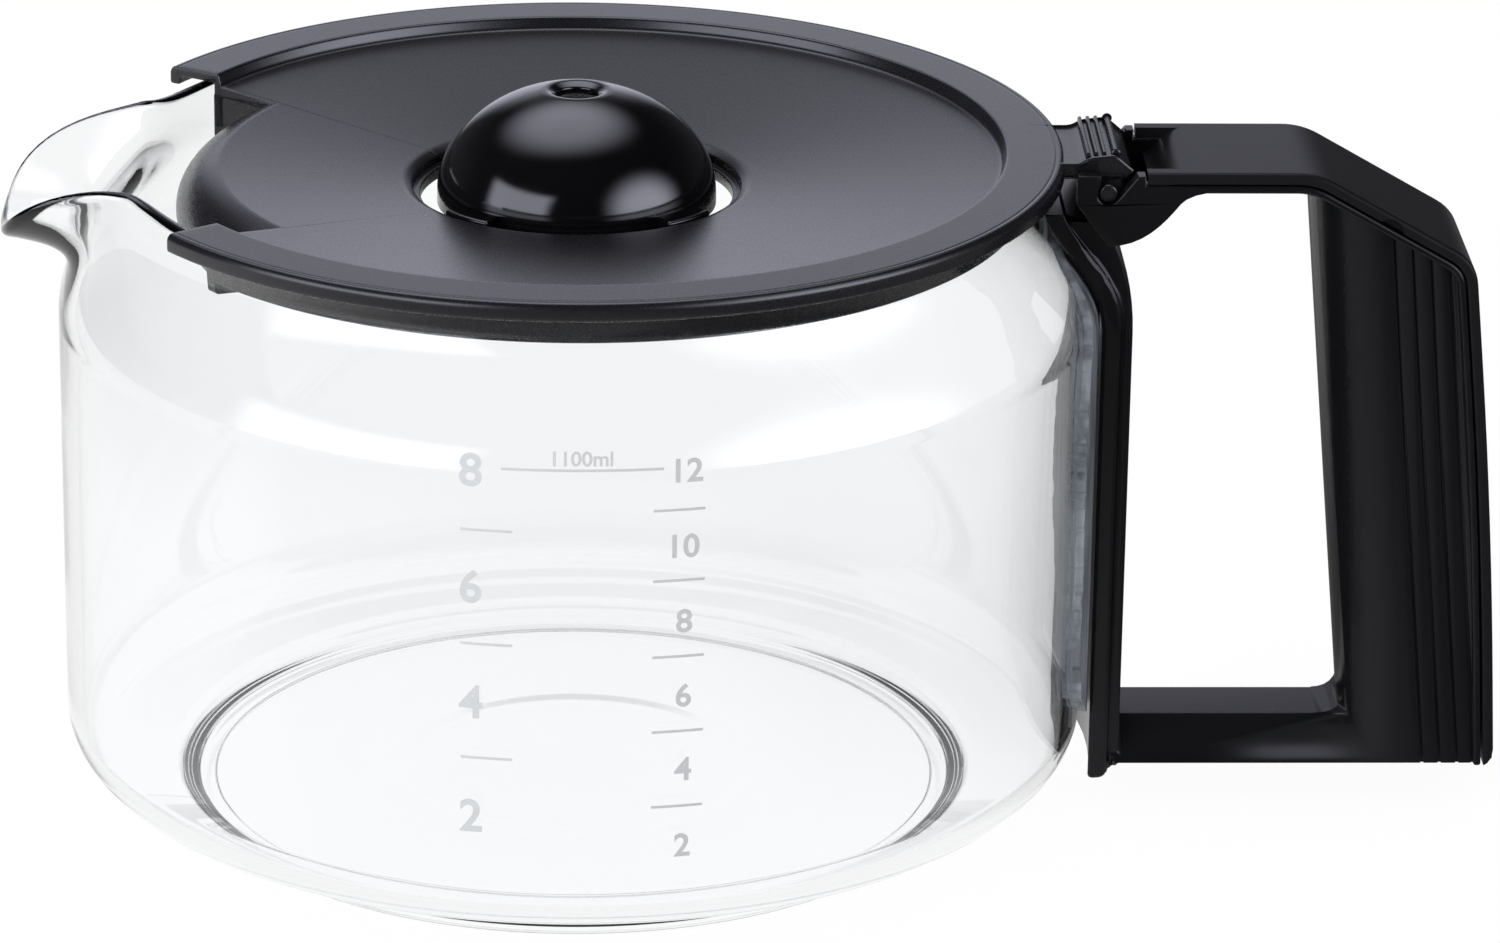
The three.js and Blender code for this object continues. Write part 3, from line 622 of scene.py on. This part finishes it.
thin = roll - 1.8
roll_outer = roll_arc(roll, crease_angle, 90, 18)
roll_inner = roll_arc(thin, 90, crease_angle, 14)
apron_bottom = apron_top - roll - 1
apron_section = soften([
    *collar_low, (apron_radius - 2, apron_top - 2.0), *roll_inner[::-1],
    (apron_radius + thin, apron_bottom, 0.4), (apron_radius + roll, apron_bottom, 0.4),
    *roll_outer[::-1], *collar_top,
])
notch_middle = 182.3
notch_half = 33.5
lid_ring = turned(lid_section, notch_middle + notch_half - 360, notch_middle - notch_half, 1.0, 0.2)
lid_apron = turned(apron_section, notch_middle - notch_half - 0.4, notch_middle + notch_half + 0.4, 1.0)


def notch_wall(side):
    low, high = apron_bottom, apron_top - 0.4
    outline = soften([(50.9, low, 0.5), (62.7, low, 0.6), (62.7, high), (50.9, high)])
    points, faces = across(outline, min(0, 1.8 * side), max(0, 1.8 * side))
    turn = Matrix.Rotation(math.radians(notch_middle + notch_half * side), 4, "Z")
    return [turn @ Vector(p) for p in points], faces


# %% Thumb tab and hinge pins
hinge_x, hinge_z = 76.1, 95.9
tab_half = 9.2
tab_outline = soften([
    (66.0, 97.2), (hinge_x, 97.2, 0.3), (hinge_x + 2.6, 97.2, 0.3), (hinge_x + 4.1, 98.4, 0.6),
    (hinge_x + 1.2, 100.9, 0.8), (hinge_x - 2.6, 100.5, 0.8), (hinge_x - 4, 99.61, 0.8), (66.0, 99.61),
])
tab = across(tab_outline, -tab_half, tab_half, 0.35)
bar_outline = arc_points((hinge_x + 1.2, 100.9), 0.75, 0, 340, 18)
bar = across(bar_outline, 0.7 - tab_half, tab_half - 0.7, 0.3)
web_low = arc_points((hinge_x, hinge_z), 2.3, 180, 360, 19)
web_outline = [*web_low, (hinge_x + 2.3, 98.0), (hinge_x - 2.3, 98.0)]
webs = [across(web_outline, *y, 0.3) for y in ((-tab_half, -6.8), (6.8, tab_half))]
pin_outline = arc_points((hinge_x, hinge_z), 1.3, 0, 340, 18)
pins = [across(pin_outline, *y, 0.25) for y in ((-11.8, -8), (8, 11.8))]


# %% [markdown]
# The tab has three thin ribs for the thumb. They are the same rib repeated at an even pitch, so a
# small tree copies one rib along a row of points.


# %% Geometry Nodes: ribs in a row
def rib_row_tree():
    tree, given = geometry_tree("Rib row", [
        ("Count", "Int"), ("First", "Vector"), ("Pitch", "Vector"), ("Length", "Float"), ("Width", "Float"),
        ("Height", "Float"), ("Material", "Material"),
    ])
    inputs = {"Count": given["Count"], "Start Location": given["First"], "Offset": given["Pitch"]}
    row = node(tree, "GeometryNodeMeshLine", inputs).outputs[0]
    inputs = {0: given["Width"], 1: given["Length"], 2: given["Height"]}
    size = node(tree, "ShaderNodeCombineXYZ", inputs).outputs[0]
    inputs = {"Points": row, "Instance": given["Geometry"], "Scale": size}
    ribs = node(tree, "GeometryNodeInstanceOnPoints", inputs).outputs[0]
    close_tree(tree, ribs, given["Material"])
    return tree


rib_outline = soften([(-0.5, -0.5), (0.5, -0.5), (0.5, 0.5, 0.35), (-0.5, 0.5, 0.35)])
rib_points, rib_faces = across(rib_outline, -0.5, 0.5)
rib_mesh = bpy.data.meshes.new("rib")
rib_mesh.from_pydata([tuple(p) for p in rib_points], [], rib_faces)
first_rib = (axis_x + (hinge_x - 0.475) * 0.001, 0, 0.10045)
ribs_mesh = grown("tab_ribs", rib_mesh, rib_row_tree(), {
    "Count": 3, "First": first_rib, "Pitch": (-0.00115, 0, -0.00008), "Length": 0.017, "Width": 0.0006,
    "Height": 0.0015, "Material": lid_plastic,
})
tidy_mesh(ribs_mesh, 32)
print("rib faces:", len(ribs_mesh.polygons))

# %% Put the lid together
lid_shapes = [lid_ring, lid_apron, notch_wall(1), notch_wall(-1), tab, bar, *webs, *pins]
lid_mesh = make_mesh("lid_moulding", *join(*lid_shapes))
lid_moulding = add_object("lid_moulding", lid_mesh)
tab_ribs = add_object("tab_ribs", ribs_mesh)
for piece in (lid_moulding, tab_ribs):
    piece.data.materials.clear()
    piece.data.materials.append(lid_plastic)
    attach(piece, "lid")
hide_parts("lid")
print("lid faces:", len(lid_mesh.polygons))

# %% [markdown]
# ## The drip dome
# The dome is a thin cap with a dished vent at the top and four feet that stand on a ledge in the
# lid's hole. Snap legs under the feet hold it. The cap is turned, and one foot with its leg is
# turned over a short range and repeated at the four angles.

# %% Dome
dome_base, dome_radius, dome_height, dome_wall = 92.3, 20.2, 15.8, 1.8
dome_inside, dome_foot = dome_radius - dome_wall, 90.9
vent, dish = 2.9, 4.8


def dome_arc(radius, height, start_radius, end_radius, steps):
    angles = np.linspace(math.acos(start_radius / radius), math.acos(end_radius / radius), steps)
    return [(radius * math.cos(a), dome_base + height * math.sin(a)) for a in angles]


dish_height = dome_base + dome_height * math.sqrt(1 - (dish / dome_radius) ** 2)
outer_arc = dome_arc(dome_radius, dome_height, dome_radius, dish, 40)
inner_arc = dome_arc(dome_inside, dome_height - dome_wall, vent, dome_inside, 30)
vent_edge = soften([
    outer_arc[-1], (4.2, dish_height - 0.05, 0.25), (vent, dish_height - 0.6, 0.3), inner_arc[0],
], closed=False)
dome_section = [
    (dome_radius, dome_foot), *outer_arc, *vent_edge[1:-1], *inner_arc, (dome_inside, dome_foot),
]
dome_shell = turned(dome_section, step=2.0)


def foot(angle):
    pad = soften([(19.0, 92.55, 0.1), (23.35, 92.55, 0.2), (23.35, 93.95, 0.5), (19.0, 93.95, 0.1)])
    leg = soften([(20.75, 88.75, 0.3), (22.25, 88.75, 0.3), (22.25, 93.2), (20.75, 93.2)])
    barb = soften([(20.9, 88.75, 0.2), (22.4, 88.75, 0.3), (23.5, 90.2, 0.3), (20.9, 90.2, 0.1)])
    parts = ((pad, 10), (leg, 6), (barb, 6))
    return [turned(part, angle - half, angle + half, 1.0, 0.25) for part, half in parts]


feet = [shape for angle in (46, 134, 226, 314) for shape in foot(angle)]
dome_mesh = make_mesh("dome_cap", *join(dome_shell, *feet))
dome_cap = add_object("dome_cap", dome_mesh)
dome_mesh.materials.append(dome_plastic)
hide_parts("drip_dome")
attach(dome_cap, "lid")
print("dome faces:", len(dome_mesh.polygons))

# %% [markdown]
# ## The handle
# The frame of the handle keeps the CAD solid's shape. Moulded edges are never sharp, so it is copied,
# its triangles are joined at their corners and a bevel rounds the edges. Each edge has its own
# weight: full on the spine, less on the arms and round the hinge, and none on the grip, whose
# grooves are too fine for it.


# %% Handle frame
def edge_weight(edge):
    if len(edge.link_faces) != 2 or edge.calc_face_angle() < math.radians(32):
        return 0.0
    middle = (edge.verts[0].co + edge.verts[1].co) * 500
    middle.x -= axis_x * 1000
    on_grip = middle.x > 100 and abs(middle.y) < 11.3
    on_spine = middle.x < 82 and middle.z < 88
    near_hinge = middle.x < 92
    if on_grip:
        return 0.0
    if on_spine:
        return 1.0
    return 0.3 if near_hinge else 0.55


def moulded_copy(node_name, name, material, edge):
    mesh = frame["nodes"][node_name].data.copy()
    mesh.name = name
    work = bmesh.new()
    work.from_mesh(mesh)
    bmesh.ops.remove_doubles(work, verts=work.verts, dist=2e-6)
    weights = work.edges.layers.float.new("bevel_weight_edge")
    for each in work.edges:
        each[weights] = edge_weight(each)
    work.to_mesh(mesh)
    work.free()
    mesh.shade_smooth()
    mesh.set_sharp_from_angle(angle=math.radians(28))
    mesh.materials.clear()
    mesh.materials.append(material)
    piece = add_object(name, mesh)
    bevel = piece.modifiers.new("edges", "BEVEL")
    bevel.width = edge
    bevel.segments = 2
    bevel.limit_method = "WEIGHT"
    bevel.use_clamp_overlap = False
    flats = piece.modifiers.new("flat faces", "WEIGHTED_NORMAL")
    flats.keep_sharp = True
    flats.weight = 90
    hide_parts(node_name)
    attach(piece, "jug")
    return piece


handle_moulding = moulded_copy("handle_frame", "handle_moulding", frame_plastic, 0.0006)
print("frame faces:", len(handle_moulding.data.polygons))

# %% [markdown]
# The cover is a strap over the arm and down the back of the grip. A strap is one section carried
# along a path, so the section is drawn once with rounded edges and set square to the path at every
# station. A half-moon is cut into its near edge, to lift it off by. A well is cut between two rails
# at its start, where a ramp leads down to the hinge.

# %% Strap
arm_top, strap_half, strap_thick, strap_foot = 99.0, 12.2, 1.6, 6.97
foot_start, foot_round = 9.4, 2.5
well_end, well_half = hinge_x + 12.1, 9.6
bend = (hinge_x + 30.1, arm_top)
knee = (hinge_x + 53.6, arm_top - 13.4)
strap_path = held(soften([
    (hinge_x + 5.6, arm_top), (well_end, arm_top), (*bend, 3), (*knee, 3.5), (hinge_x + 57.9, 45, 25),
    (hinge_x + 59.9, foot_start), (hinge_x + 60.0, 8.2), (hinge_x + 60.05, 7.4),
    (hinge_x + 60.07, strap_foot),
], steps=8, closed=False), closed=False, near=0.6)
strap_section = held(soften([
    (-strap_half, 0, 0.7), (strap_half, 0, 0.7), (strap_half, strap_thick, 0.3),
    (-strap_half, strap_thick, 0.3),
]))


def right_hand(points, i):
    ahead = points[min(i + 1, len(points) - 1)] - points[max(i - 1, 0)]
    ahead = ahead / np.linalg.norm(ahead)
    return np.array((ahead[1], -ahead[0]))


def strap_ring(i):
    inwards = right_hand(strap_path, i)
    low = max(0.0, foot_start - strap_path[i][1]) / foot_round
    rounded = foot_round * (1 - math.sqrt(max(0.0, 1 - low**2)))
    ring = []
    for y, depth in strap_section:
        x, z = strap_path[i] + inwards * max(depth, min(rounded, strap_thick))
        ring.append((x, y, max(z, strap_foot)))
    return ring


def carved(mesh, *cutter_meshes):
    piece = add_object("uncut", mesh)
    cutters = [add_object("cutter", m) for m in cutter_meshes]
    for cutter in cutters:
        cut = piece.modifiers.new("cut", "BOOLEAN")
        cut.object = cutter
        cut.solver = "EXACT"
    evaluated = piece.evaluated_get(bpy.context.evaluated_depsgraph_get())
    result = bpy.data.meshes.new_from_object(evaluated)
    for spent in (piece, *cutters):
        bpy.data.objects.remove(spent)
    return result


def half_moon():
    """A short round bar along Y that cuts the pry notch into the near side of the slope."""
    slope = np.array(knee) - bend
    along = slope / np.linalg.norm(slope)
    inwards = np.array((along[1], -along[0]))
    middle = bend + 0.5 * slope + 2.45 * inwards
    return across(arc_points(middle, 2.1, 0, 350, 36), -13.2, -11.1)


strap_rings = [strap_ring(i) for i in range(len(strap_path))]
strap_shell = make_mesh("strap_shell", *skinned(strap_rings, False))
well_outline = [(hinge_x, 90), (well_end, 90), (well_end, 105), (hinge_x, 105)]
well = across(well_outline, -well_half, well_half)
strap_mesh = carved(strap_shell, make_mesh("half_moon", *half_moon()), make_mesh("well", *well))
tidy_mesh(strap_mesh, 32)

# %% Ramp
climb = np.linspace(0, 1, 13)[:, None]
start, lead, reach, end = np.array(((82.8, 95.3), (84.8, 95.3), (85.4, arm_top), (well_end, arm_top)))
ramp_top = (1 - climb) ** 3 * start + 3 * climb * (1 - climb) ** 2 * lead
ramp_top = ramp_top + 3 * climb**2 * (1 - climb) * reach + climb**3 * end
ramp_under = [ramp_top[i] + 1.5 * right_hand(ramp_top, i) for i in range(len(ramp_top))]
ramp_shape = across([*ramp_top, *ramp_under[::-1]], -well_half, well_half)
handle_strap = add_object("handle_strap", strap_mesh)
strap_ramp = add_object("strap_ramp", make_mesh("strap_ramp", *ramp_shape))
for piece in (handle_strap, strap_ramp):
    piece.data.materials.clear()
    piece.data.materials.append(cover_plastic)
    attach(piece, "jug")
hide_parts("handle_cover")
print("strap faces:", len(strap_mesh.polygons))

# %% [markdown]
# ## The adhesive strip
# A grey silicone strip bonds the handle to the glass. It was pressed out by hand, so its edges are
# ragged: drawn through a few heights and roughened by a fixed noise. Silicone wets the glass, so
# its inner face lies a hair inside the wall, and light in the wall meets it with no air between.


# %% Adhesive
def skin_radius(z, distance):
    slope = (glass_radius(z + 0.1) - glass_radius(z - 0.1)) / 0.2
    return glass_radius(z) + distance * math.hypot(1, slope)


far_edge = [(14, 0.5), (17, 1.5), (21, 3.1), (27, 4.6), (33, 6.6), (39, 8.5), (46, 9.6), (51, 9.6),
            (58, 8.3), (63, 6.6), (67, 4.5), (70, 3.0), (73, 3.4), (79, 6.0), (88, 6.5)]
near_edge = [(14, -8), (17, -14), (20, -18), (26, -20.5), (60, -20.5), (66, -20), (76, -18),
             (83, -13), (88, -8)]


def edge_at(edge, z, seed):
    drawn = np.interp(z, *zip(*edge))
    coarse = 1.1 * noise.noise(Vector((z * 0.4, seed, 5.2)))
    fine = 0.5 * noise.noise(Vector((z * 1.8, seed, 0.4)))
    return drawn + coarse + fine


def adhesive_strip():
    heights = np.linspace(14.2, 87.8, 220)
    rings = []
    for z in heights:
        near, far = skin_radius(z, -0.03), skin_radius(z, 1.2)
        ys = np.linspace(edge_at(near_edge, z, 3.1), edge_at(far_edge, z, 7.3), 25)
        inner = [(math.sqrt(near**2 - y**2), y, z) for y in ys]
        outer = [(math.sqrt(far**2 - y**2), y, z) for y in ys[::-1]]
        rings.append(inner + outer)
    return skinned(rings, False)


adhesive_material, tree, shader = new_material("grey silicone")
place = node(tree, "ShaderNodeTexCoord").outputs["Object"]
stretched = node(tree, "ShaderNodeMapping", {"Vector": place, "Scale": (500, 500, 60)}).outputs[0]
streaks = noise_node(tree, stretched, 1.0, 5.0)
greys = two_tones(tree, streaks, (0.11, 0.12, 0.135), (0.3, 0.32, 0.345), 0.35, 0.68)
tree.links.new(greys, shader.inputs["Base Color"])
tree.links.new(ranged(tree, streaks, 0.3, 0.7, 0.35, 0.6), shader.inputs["Roughness"])
bump = node(tree, "ShaderNodeBump", {"Height": streaks, "Strength": 0.5, "Distance": 0.0003})
tree.links.new(bump.outputs[0], shader.inputs["Normal"])
adhesive = add_object("adhesive_strip", make_mesh("adhesive_strip", *adhesive_strip(), 50))
adhesive.data.materials.append(adhesive_material)
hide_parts("handle_bond")
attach(adhesive, "jug")

# %% [markdown]
# ## The printed scale
# Cup numbers and level lines are printed in pale grey on the front of the glass. They are laid out
# flat first, with the run along the glass as X, and a tree copies the lines to their places and
# wraps everything round the wall.

# %% Scale layout
def number_mesh(text, run, base, height, weight):
    curve = bpy.data.curves.new("number", "FONT")
    curve.body = text
    curve.size = 1.0
    curve.offset = weight
    curve.align_x = "CENTER"
    letter = add_object("number", curve)
    evaluated = letter.evaluated_get(bpy.context.evaluated_depsgraph_get())
    mesh = bpy.data.meshes.new_from_object(evaluated)
    bpy.data.objects.remove(letter)
    points = np.zeros(len(mesh.vertices) * 3)
    mesh.vertices.foreach_get("co", points)
    points = points.reshape(-1, 3)
    low, high = points.min(0), points.max(0)
    factor = height / (high[1] - low[1])
    centre = (low[0] + high[0]) / 2
    flat = [(run + (x - centre) * factor, 0.0, base + (y - low[1]) * factor) for x, y, _ in points]
    faces = [tuple(f.vertices) for f in mesh.polygons]
    bpy.data.meshes.remove(mesh)
    return flat, faces


run_per_degree = math.radians(1) * body_radius
print_weight = 0.022
numbers = [
    ("8", -11.5, 77.0, 4.9), ("6", -11.5, 60.0, 4.9), ("4", -11.5, 43.0, 4.9), ("2", -11.5, 26.0, 4.9),
    ("12", 11.3, 77.0, 3.5), ("10", 11.0, 66.0, 3.5), ("8", 10.9, 55.0, 3.5), ("6", 10.9, 44.0, 3.5),
    ("4", 10.9, 33.0, 3.5), ("2", 10.9, 21.6, 3.5), ("1100ml", 0.2, 79.1, 2.2),
]
lines = [(-9.85, 68.3, 5.5), (-9.85, 51.6, 5.5), (-9.85, 34.7, 5.5), (0.15, 77.4, 16.9),
         (10.3, 71.3, 5.5), (10.3, 61.0, 5.5), (10.3, 49.8, 5.5), (10.3, 38.7, 5.5), (10.3, 27.5, 5.5)]
number_shapes = [
    number_mesh(text, angle * run_per_degree, z - height / 2, height, print_weight)
    for text, angle, z, height in numbers
]
number_points, number_faces = join(*number_shapes)
print("numbers:", len(numbers), "lines:", len(lines))


# %% Geometry Nodes: wrap the print round the glass
def print_tree():
    tree, given = geometry_tree("Print on glass", [
        ("Glass Radius", "Float"), ("Line Width", "Float"), ("Film", "Float"), ("Axis", "Vector"),
        ("Material", "Material"),
    ])
    named = node(tree, "GeometryNodeInputNamedAttribute", {"Name": "length"}, data_type="FLOAT")
    length = named.outputs[0]
    is_line = math_node(tree, "GREATER_THAN", length, 0.0)
    inputs = {"Size X": 1.0, "Size Y": 1.0, "Vertices X": 24, "Vertices Y": 2}
    stroke = node(tree, "GeometryNodeMeshGrid", inputs).outputs[0]
    inputs = {"Geometry": stroke, "Rotation": (math.pi / 2, 0, 0)}
    upright = node(tree, "GeometryNodeTransform", inputs).outputs[0]
    size = node(tree, "ShaderNodeCombineXYZ", {0: length, 1: 1.0, 2: given["Line Width"]}).outputs[0]
    inputs = {"Points": given["Geometry"], "Selection": is_line, "Instance": upright, "Scale": size}
    strokes = node(tree, "GeometryNodeInstanceOnPoints", inputs).outputs[0]
    strokes = node(tree, "GeometryNodeRealizeInstances", {"Geometry": strokes}).outputs[0]
    both = node(tree, "GeometryNodeJoinGeometry")
    tree.links.new(given["Geometry"], both.inputs[0])
    tree.links.new(strokes, both.inputs[0])
    here = node(tree, "GeometryNodeInputPosition").outputs[0]
    flat = node(tree, "ShaderNodeSeparateXYZ", {0: here}).outputs
    angle = math_node(tree, "DIVIDE", flat[0], given["Glass Radius"])
    radius = math_node(tree, "ADD", given["Glass Radius"], given["Film"])
    x = math_node(tree, "MULTIPLY", radius, math_node(tree, "SINE", angle))
    depth = math_node(tree, "MULTIPLY", radius, math_node(tree, "COSINE", angle))
    y = math_node(tree, "MULTIPLY", depth, -1.0)
    wrapped = node(tree, "ShaderNodeCombineXYZ", {0: x, 1: y, 2: flat[2]}).outputs[0]
    place = vector_node(tree, "ADD", wrapped, given["Axis"])
    inputs = {"Geometry": both.outputs[0], "Position": place}
    shaped = node(tree, "GeometryNodeSetPosition", inputs).outputs[0]
    close_tree(tree, shaped, given["Material"])
    return tree


print_material, tree, shader = new_material("pale grey print")
place = node(tree, "ShaderNodeTexCoord").outputs["Object"]
mottle = noise_node(tree, place, 900.0, 3.0)
greys = two_tones(tree, mottle, (0.54, 0.55, 0.55), (0.62, 0.63, 0.63))
tree.links.new(greys, shader.inputs["Base Color"])
tree.links.new(ranged(tree, mottle, 0.3, 0.7, 0.5, 0.7), shader.inputs["Roughness"])
shader.inputs["Specular IOR Level"].default_value = 0.1

flat_mesh = bpy.data.meshes.new("scale_flat")
stations = [(angle * run_per_degree, 0.0, z) for angle, z, _ in lines]
flat_points = np.array([*number_points, *stations], float) * 0.001
flat_mesh.from_pydata(flat_points.tolist(), [], number_faces)
lengths = [0.0] * len(number_points) + [width * run_per_degree * 0.001 for _, _, width in lines]
flat_mesh.attributes.new("length", "FLOAT", "POINT").data.foreach_set("value", lengths)
scale_mesh = grown("volume_scale", flat_mesh, print_tree(), {
    "Glass Radius": body_radius * 0.001, "Line Width": 0.0004, "Film": 0.00006, "Axis": (axis_x, 0, 0),
    "Material": print_material,
})
work = bmesh.new()
work.from_mesh(scale_mesh)
bmesh.ops.delete(work, geom=[v for v in work.verts if not v.link_faces], context="VERTS")
work.to_mesh(scale_mesh)
work.free()
volume_scale = add_object("volume_scale", scale_mesh)
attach(volume_scale, "jug")
print("print faces:", len(scale_mesh.polygons))

# %% [markdown]
# ## Floor and light
# A pale floor and a white surround, as in a product photograph. The camera sees white, and so does
# the glass, except back towards the camera, where it is darker and draws the edges of the glass.
# Reflections come from a plain studio: a lit backdrop that fades upwards and to its sides, a soft
# glow overhead and from the right, and a bright window at the left. A mirrored floor is darker in
# front and at the right, which keeps the handle black. One large soft box gives the light of the
# window and casts the shadows.


# %% Floor
def floor_disc():
    mesh = bpy.data.meshes.new("floor")
    turns = np.radians(np.arange(0, 360, 5))
    points = [(0, 0, -0.0003)] + [(4 * math.cos(a), 4 * math.sin(a), -0.0003) for a in turns]
    count = len(turns)
    mesh.from_pydata(points, [], [(0, 1 + i, 1 + (i + 1) % count) for i in range(count)])
    return add_object("floor", mesh)


floor = floor_disc()
floor_material = bpy.data.materials.new("pale floor")
floor_material.use_nodes = True
tree = floor_material.node_tree
tree.nodes.clear()
path = node(tree, "ShaderNodeLightPath").outputs
through_glass = math_node(tree, "GREATER_THAN", path["Transmission Depth"], 0.5)
passes = math_node(tree, "ADD", path["Transmission Depth"], path["Diffuse Depth"])
mirrored = math_node(tree, "GREATER_THAN", math_node(tree, "SUBTRACT", path["Ray Depth"], passes), 0.5)
bounced = math_node(tree, "MAXIMUM", path["Is Glossy Ray"], through_glass)
seen = math_node(tree, "MAXIMUM", path["Is Camera Ray"], bounced)
place = node(tree, "ShaderNodeTexCoord").outputs["Object"]
spot = node(tree, "ShaderNodeSeparateXYZ", {0: place}).outputs
at_back = math_node(tree, "MULTIPLY", math_node(tree, "GREATER_THAN", spot[1], 0.03), 0.08)
sideways = math_node(tree, "ADD", spot[0], at_back)
right = ranged(tree, sideways, 0.04, 0.12, 1.0, 0.2)
front = ranged(tree, spot[1], -0.08, -0.3, 1.0, 0.2)
left = ranged(tree, spot[0], -0.2, -0.6, 0.0, 1.0)
dulled = math_node(tree, "MULTIPLY_ADD", through_glass, -0.08, 1.0)
shaded = math_node(tree, "MULTIPLY", math_node(tree, "MAXIMUM", front, left), right)
lit = math_node(tree, "MULTIPLY", shaded, dulled)
plain = math_node(tree, "MULTIPLY_ADD", math_node(tree, "SUBTRACT", 1.0, bounced), 0.05, 1.0)
level = node(tree, "ShaderNodeMix", {0: mirrored, 2: plain, 3: lit}).outputs[0]
matte = node(tree, "ShaderNodeBsdfDiffuse", {"Color": (0.86, 0.86, 0.86, 1)})
white = node(tree, "ShaderNodeEmission", {"Color": (1, 1, 1, 1), "Strength": level})
share = math_node(tree, "MAXIMUM", math_node(tree, "MULTIPLY", seen, 0.9), bounced)
mixed = node(tree, "ShaderNodeMixShader", {0: share, 1: matte.outputs[0], 2: white.outputs[0]})
node(tree, "ShaderNodeOutputMaterial", {"Surface": mixed.outputs[0]})
floor.data.materials.append(floor_material)

# %% World and soft box
world = bpy.data.worlds.new("studio")
scene.world = world
world.use_nodes = True
tree = world.node_tree
tree.nodes.clear()
path = node(tree, "ShaderNodeLightPath").outputs
through_glass = math_node(tree, "GREATER_THAN", path["Transmission Depth"], 0.5)
facing = node(tree, "ShaderNodeTexCoord").outputs["Generated"]
toward = node(tree, "ShaderNodeSeparateXYZ", {0: facing}).outputs


def eased(value, start, end, low, high):
    return ranged(tree, value, start, end, low, high, "SMOOTHSTEP")


fall = node(tree, "ShaderNodeValToRGB", {"Fac": toward[2]})
fall.color_ramp.interpolation = "EASE"
for place, level in ((0.2, 1.0), (0.36, 0.62), (0.5, 0.2), (0.62, 0.04)):
    stop = fall.color_ramp.elements.new(place)
    stop.color = (level, level, level, 1)
fall.color_ramp.elements[0].color = (1, 1, 1, 1)
fall.color_ramp.elements[-1].color = (0.01, 0.01, 0.01, 1)
behind = eased(toward[1], 0.0, 0.5, 0.0, 1.25)
right_end = eased(toward[0], 0.08, 0.34, 1.0, 0.03)
left_end = eased(toward[0], -0.42, -0.16, 0.05, 1.0)
width = math_node(tree, "MULTIPLY", right_end, left_end)
backdrop = math_node(tree, "MULTIPLY", math_node(tree, "MULTIPLY", fall.outputs[0], behind), width)


def share_of(direction):
    inputs = {0: facing, 1: direction}
    return node(tree, "ShaderNodeVectorMath", inputs, operation="DOT_PRODUCT").outputs["Value"]


def glow_towards(direction, edge, level):
    rise = eased(share_of(direction), edge, 1.0, 0.0, 1.0)
    return math_node(tree, "MULTIPLY", math_node(tree, "MULTIPLY", rise, rise), level)


overhead = glow_towards((-0.09, 0.33, 0.94), 0.74, 3.6)
from_right = glow_towards((0.84, -0.52, 0.16), 0.72, 6.6)
sideways = math_node(tree, "ABSOLUTE", share_of((0.62, -0.785, 0)))
upwards = math_node(tree, "ABSOLUTE", math_node(tree, "SUBTRACT", toward[2], 0.22))
in_width = eased(sideways, 0.36, 0.52, 1.0, 0.0)
in_height = eased(upwards, 0.2, 0.32, 1.0, 0.0)
at_left = eased(share_of((-0.785, -0.62, 0)), 0.2, 0.4, 0.0, 4.8)
window = math_node(tree, "MULTIPLY", math_node(tree, "MULTIPLY", in_width, in_height), at_left)
glows = math_node(tree, "ADD", math_node(tree, "ADD", overhead, from_right), window)
mirrored = math_node(tree, "ADD", math_node(tree, "ADD", backdrop, glows), 0.02)
glossy = path["Is Glossy Ray"]
even = math_node(tree, "MULTIPLY", math_node(tree, "SUBTRACT", 1.0, glossy), 0.6)
studio = math_node(tree, "MULTIPLY_ADD", mirrored, glossy, even)
past_glass = eased(toward[1], -0.4, 0.1, 0.28, 1.0)
around = node(tree, "ShaderNodeMix", {0: through_glass, 2: studio, 3: past_glass}).outputs[0]
cool = math_node(tree, "MULTIPLY", glossy, math_node(tree, "SUBTRACT", 1.0, through_glass))
tints = {0: cool, 6: (0.97, 0.98, 1, 1), 7: (0.86, 0.87, 1.02, 1)}
tint = node(tree, "ShaderNodeMix", tints, data_type="RGBA").outputs[2]
room = node(tree, "ShaderNodeBackground", {"Color": tint, "Strength": around})
white = node(tree, "ShaderNodeBackground", {"Color": (1, 1, 1, 1), "Strength": 1.0})
inputs = {0: path["Is Camera Ray"], 1: room.outputs[0], 2: white.outputs[0]}
surround = node(tree, "ShaderNodeMixShader", inputs).outputs[0]
node(tree, "ShaderNodeOutputWorld", {"Surface": surround})

lamp = bpy.data.lights.new("left_box", "AREA")
lamp.shape = "RECTANGLE"
lamp.size = 1.6
lamp.size_y = 0.95
lamp.energy = 22
lamp.color = (0.94, 0.96, 1.0)
left_box = add_object("left_box", lamp)
left_box.location = (-1.2, -0.95, 0.52)
aim = Vector((0, 0, 0.06)) - left_box.location
left_box.rotation_euler = aim.to_track_quat("-Z", "Y").to_euler()
left_box.visible_glossy = False
left_box.visible_transmission = False
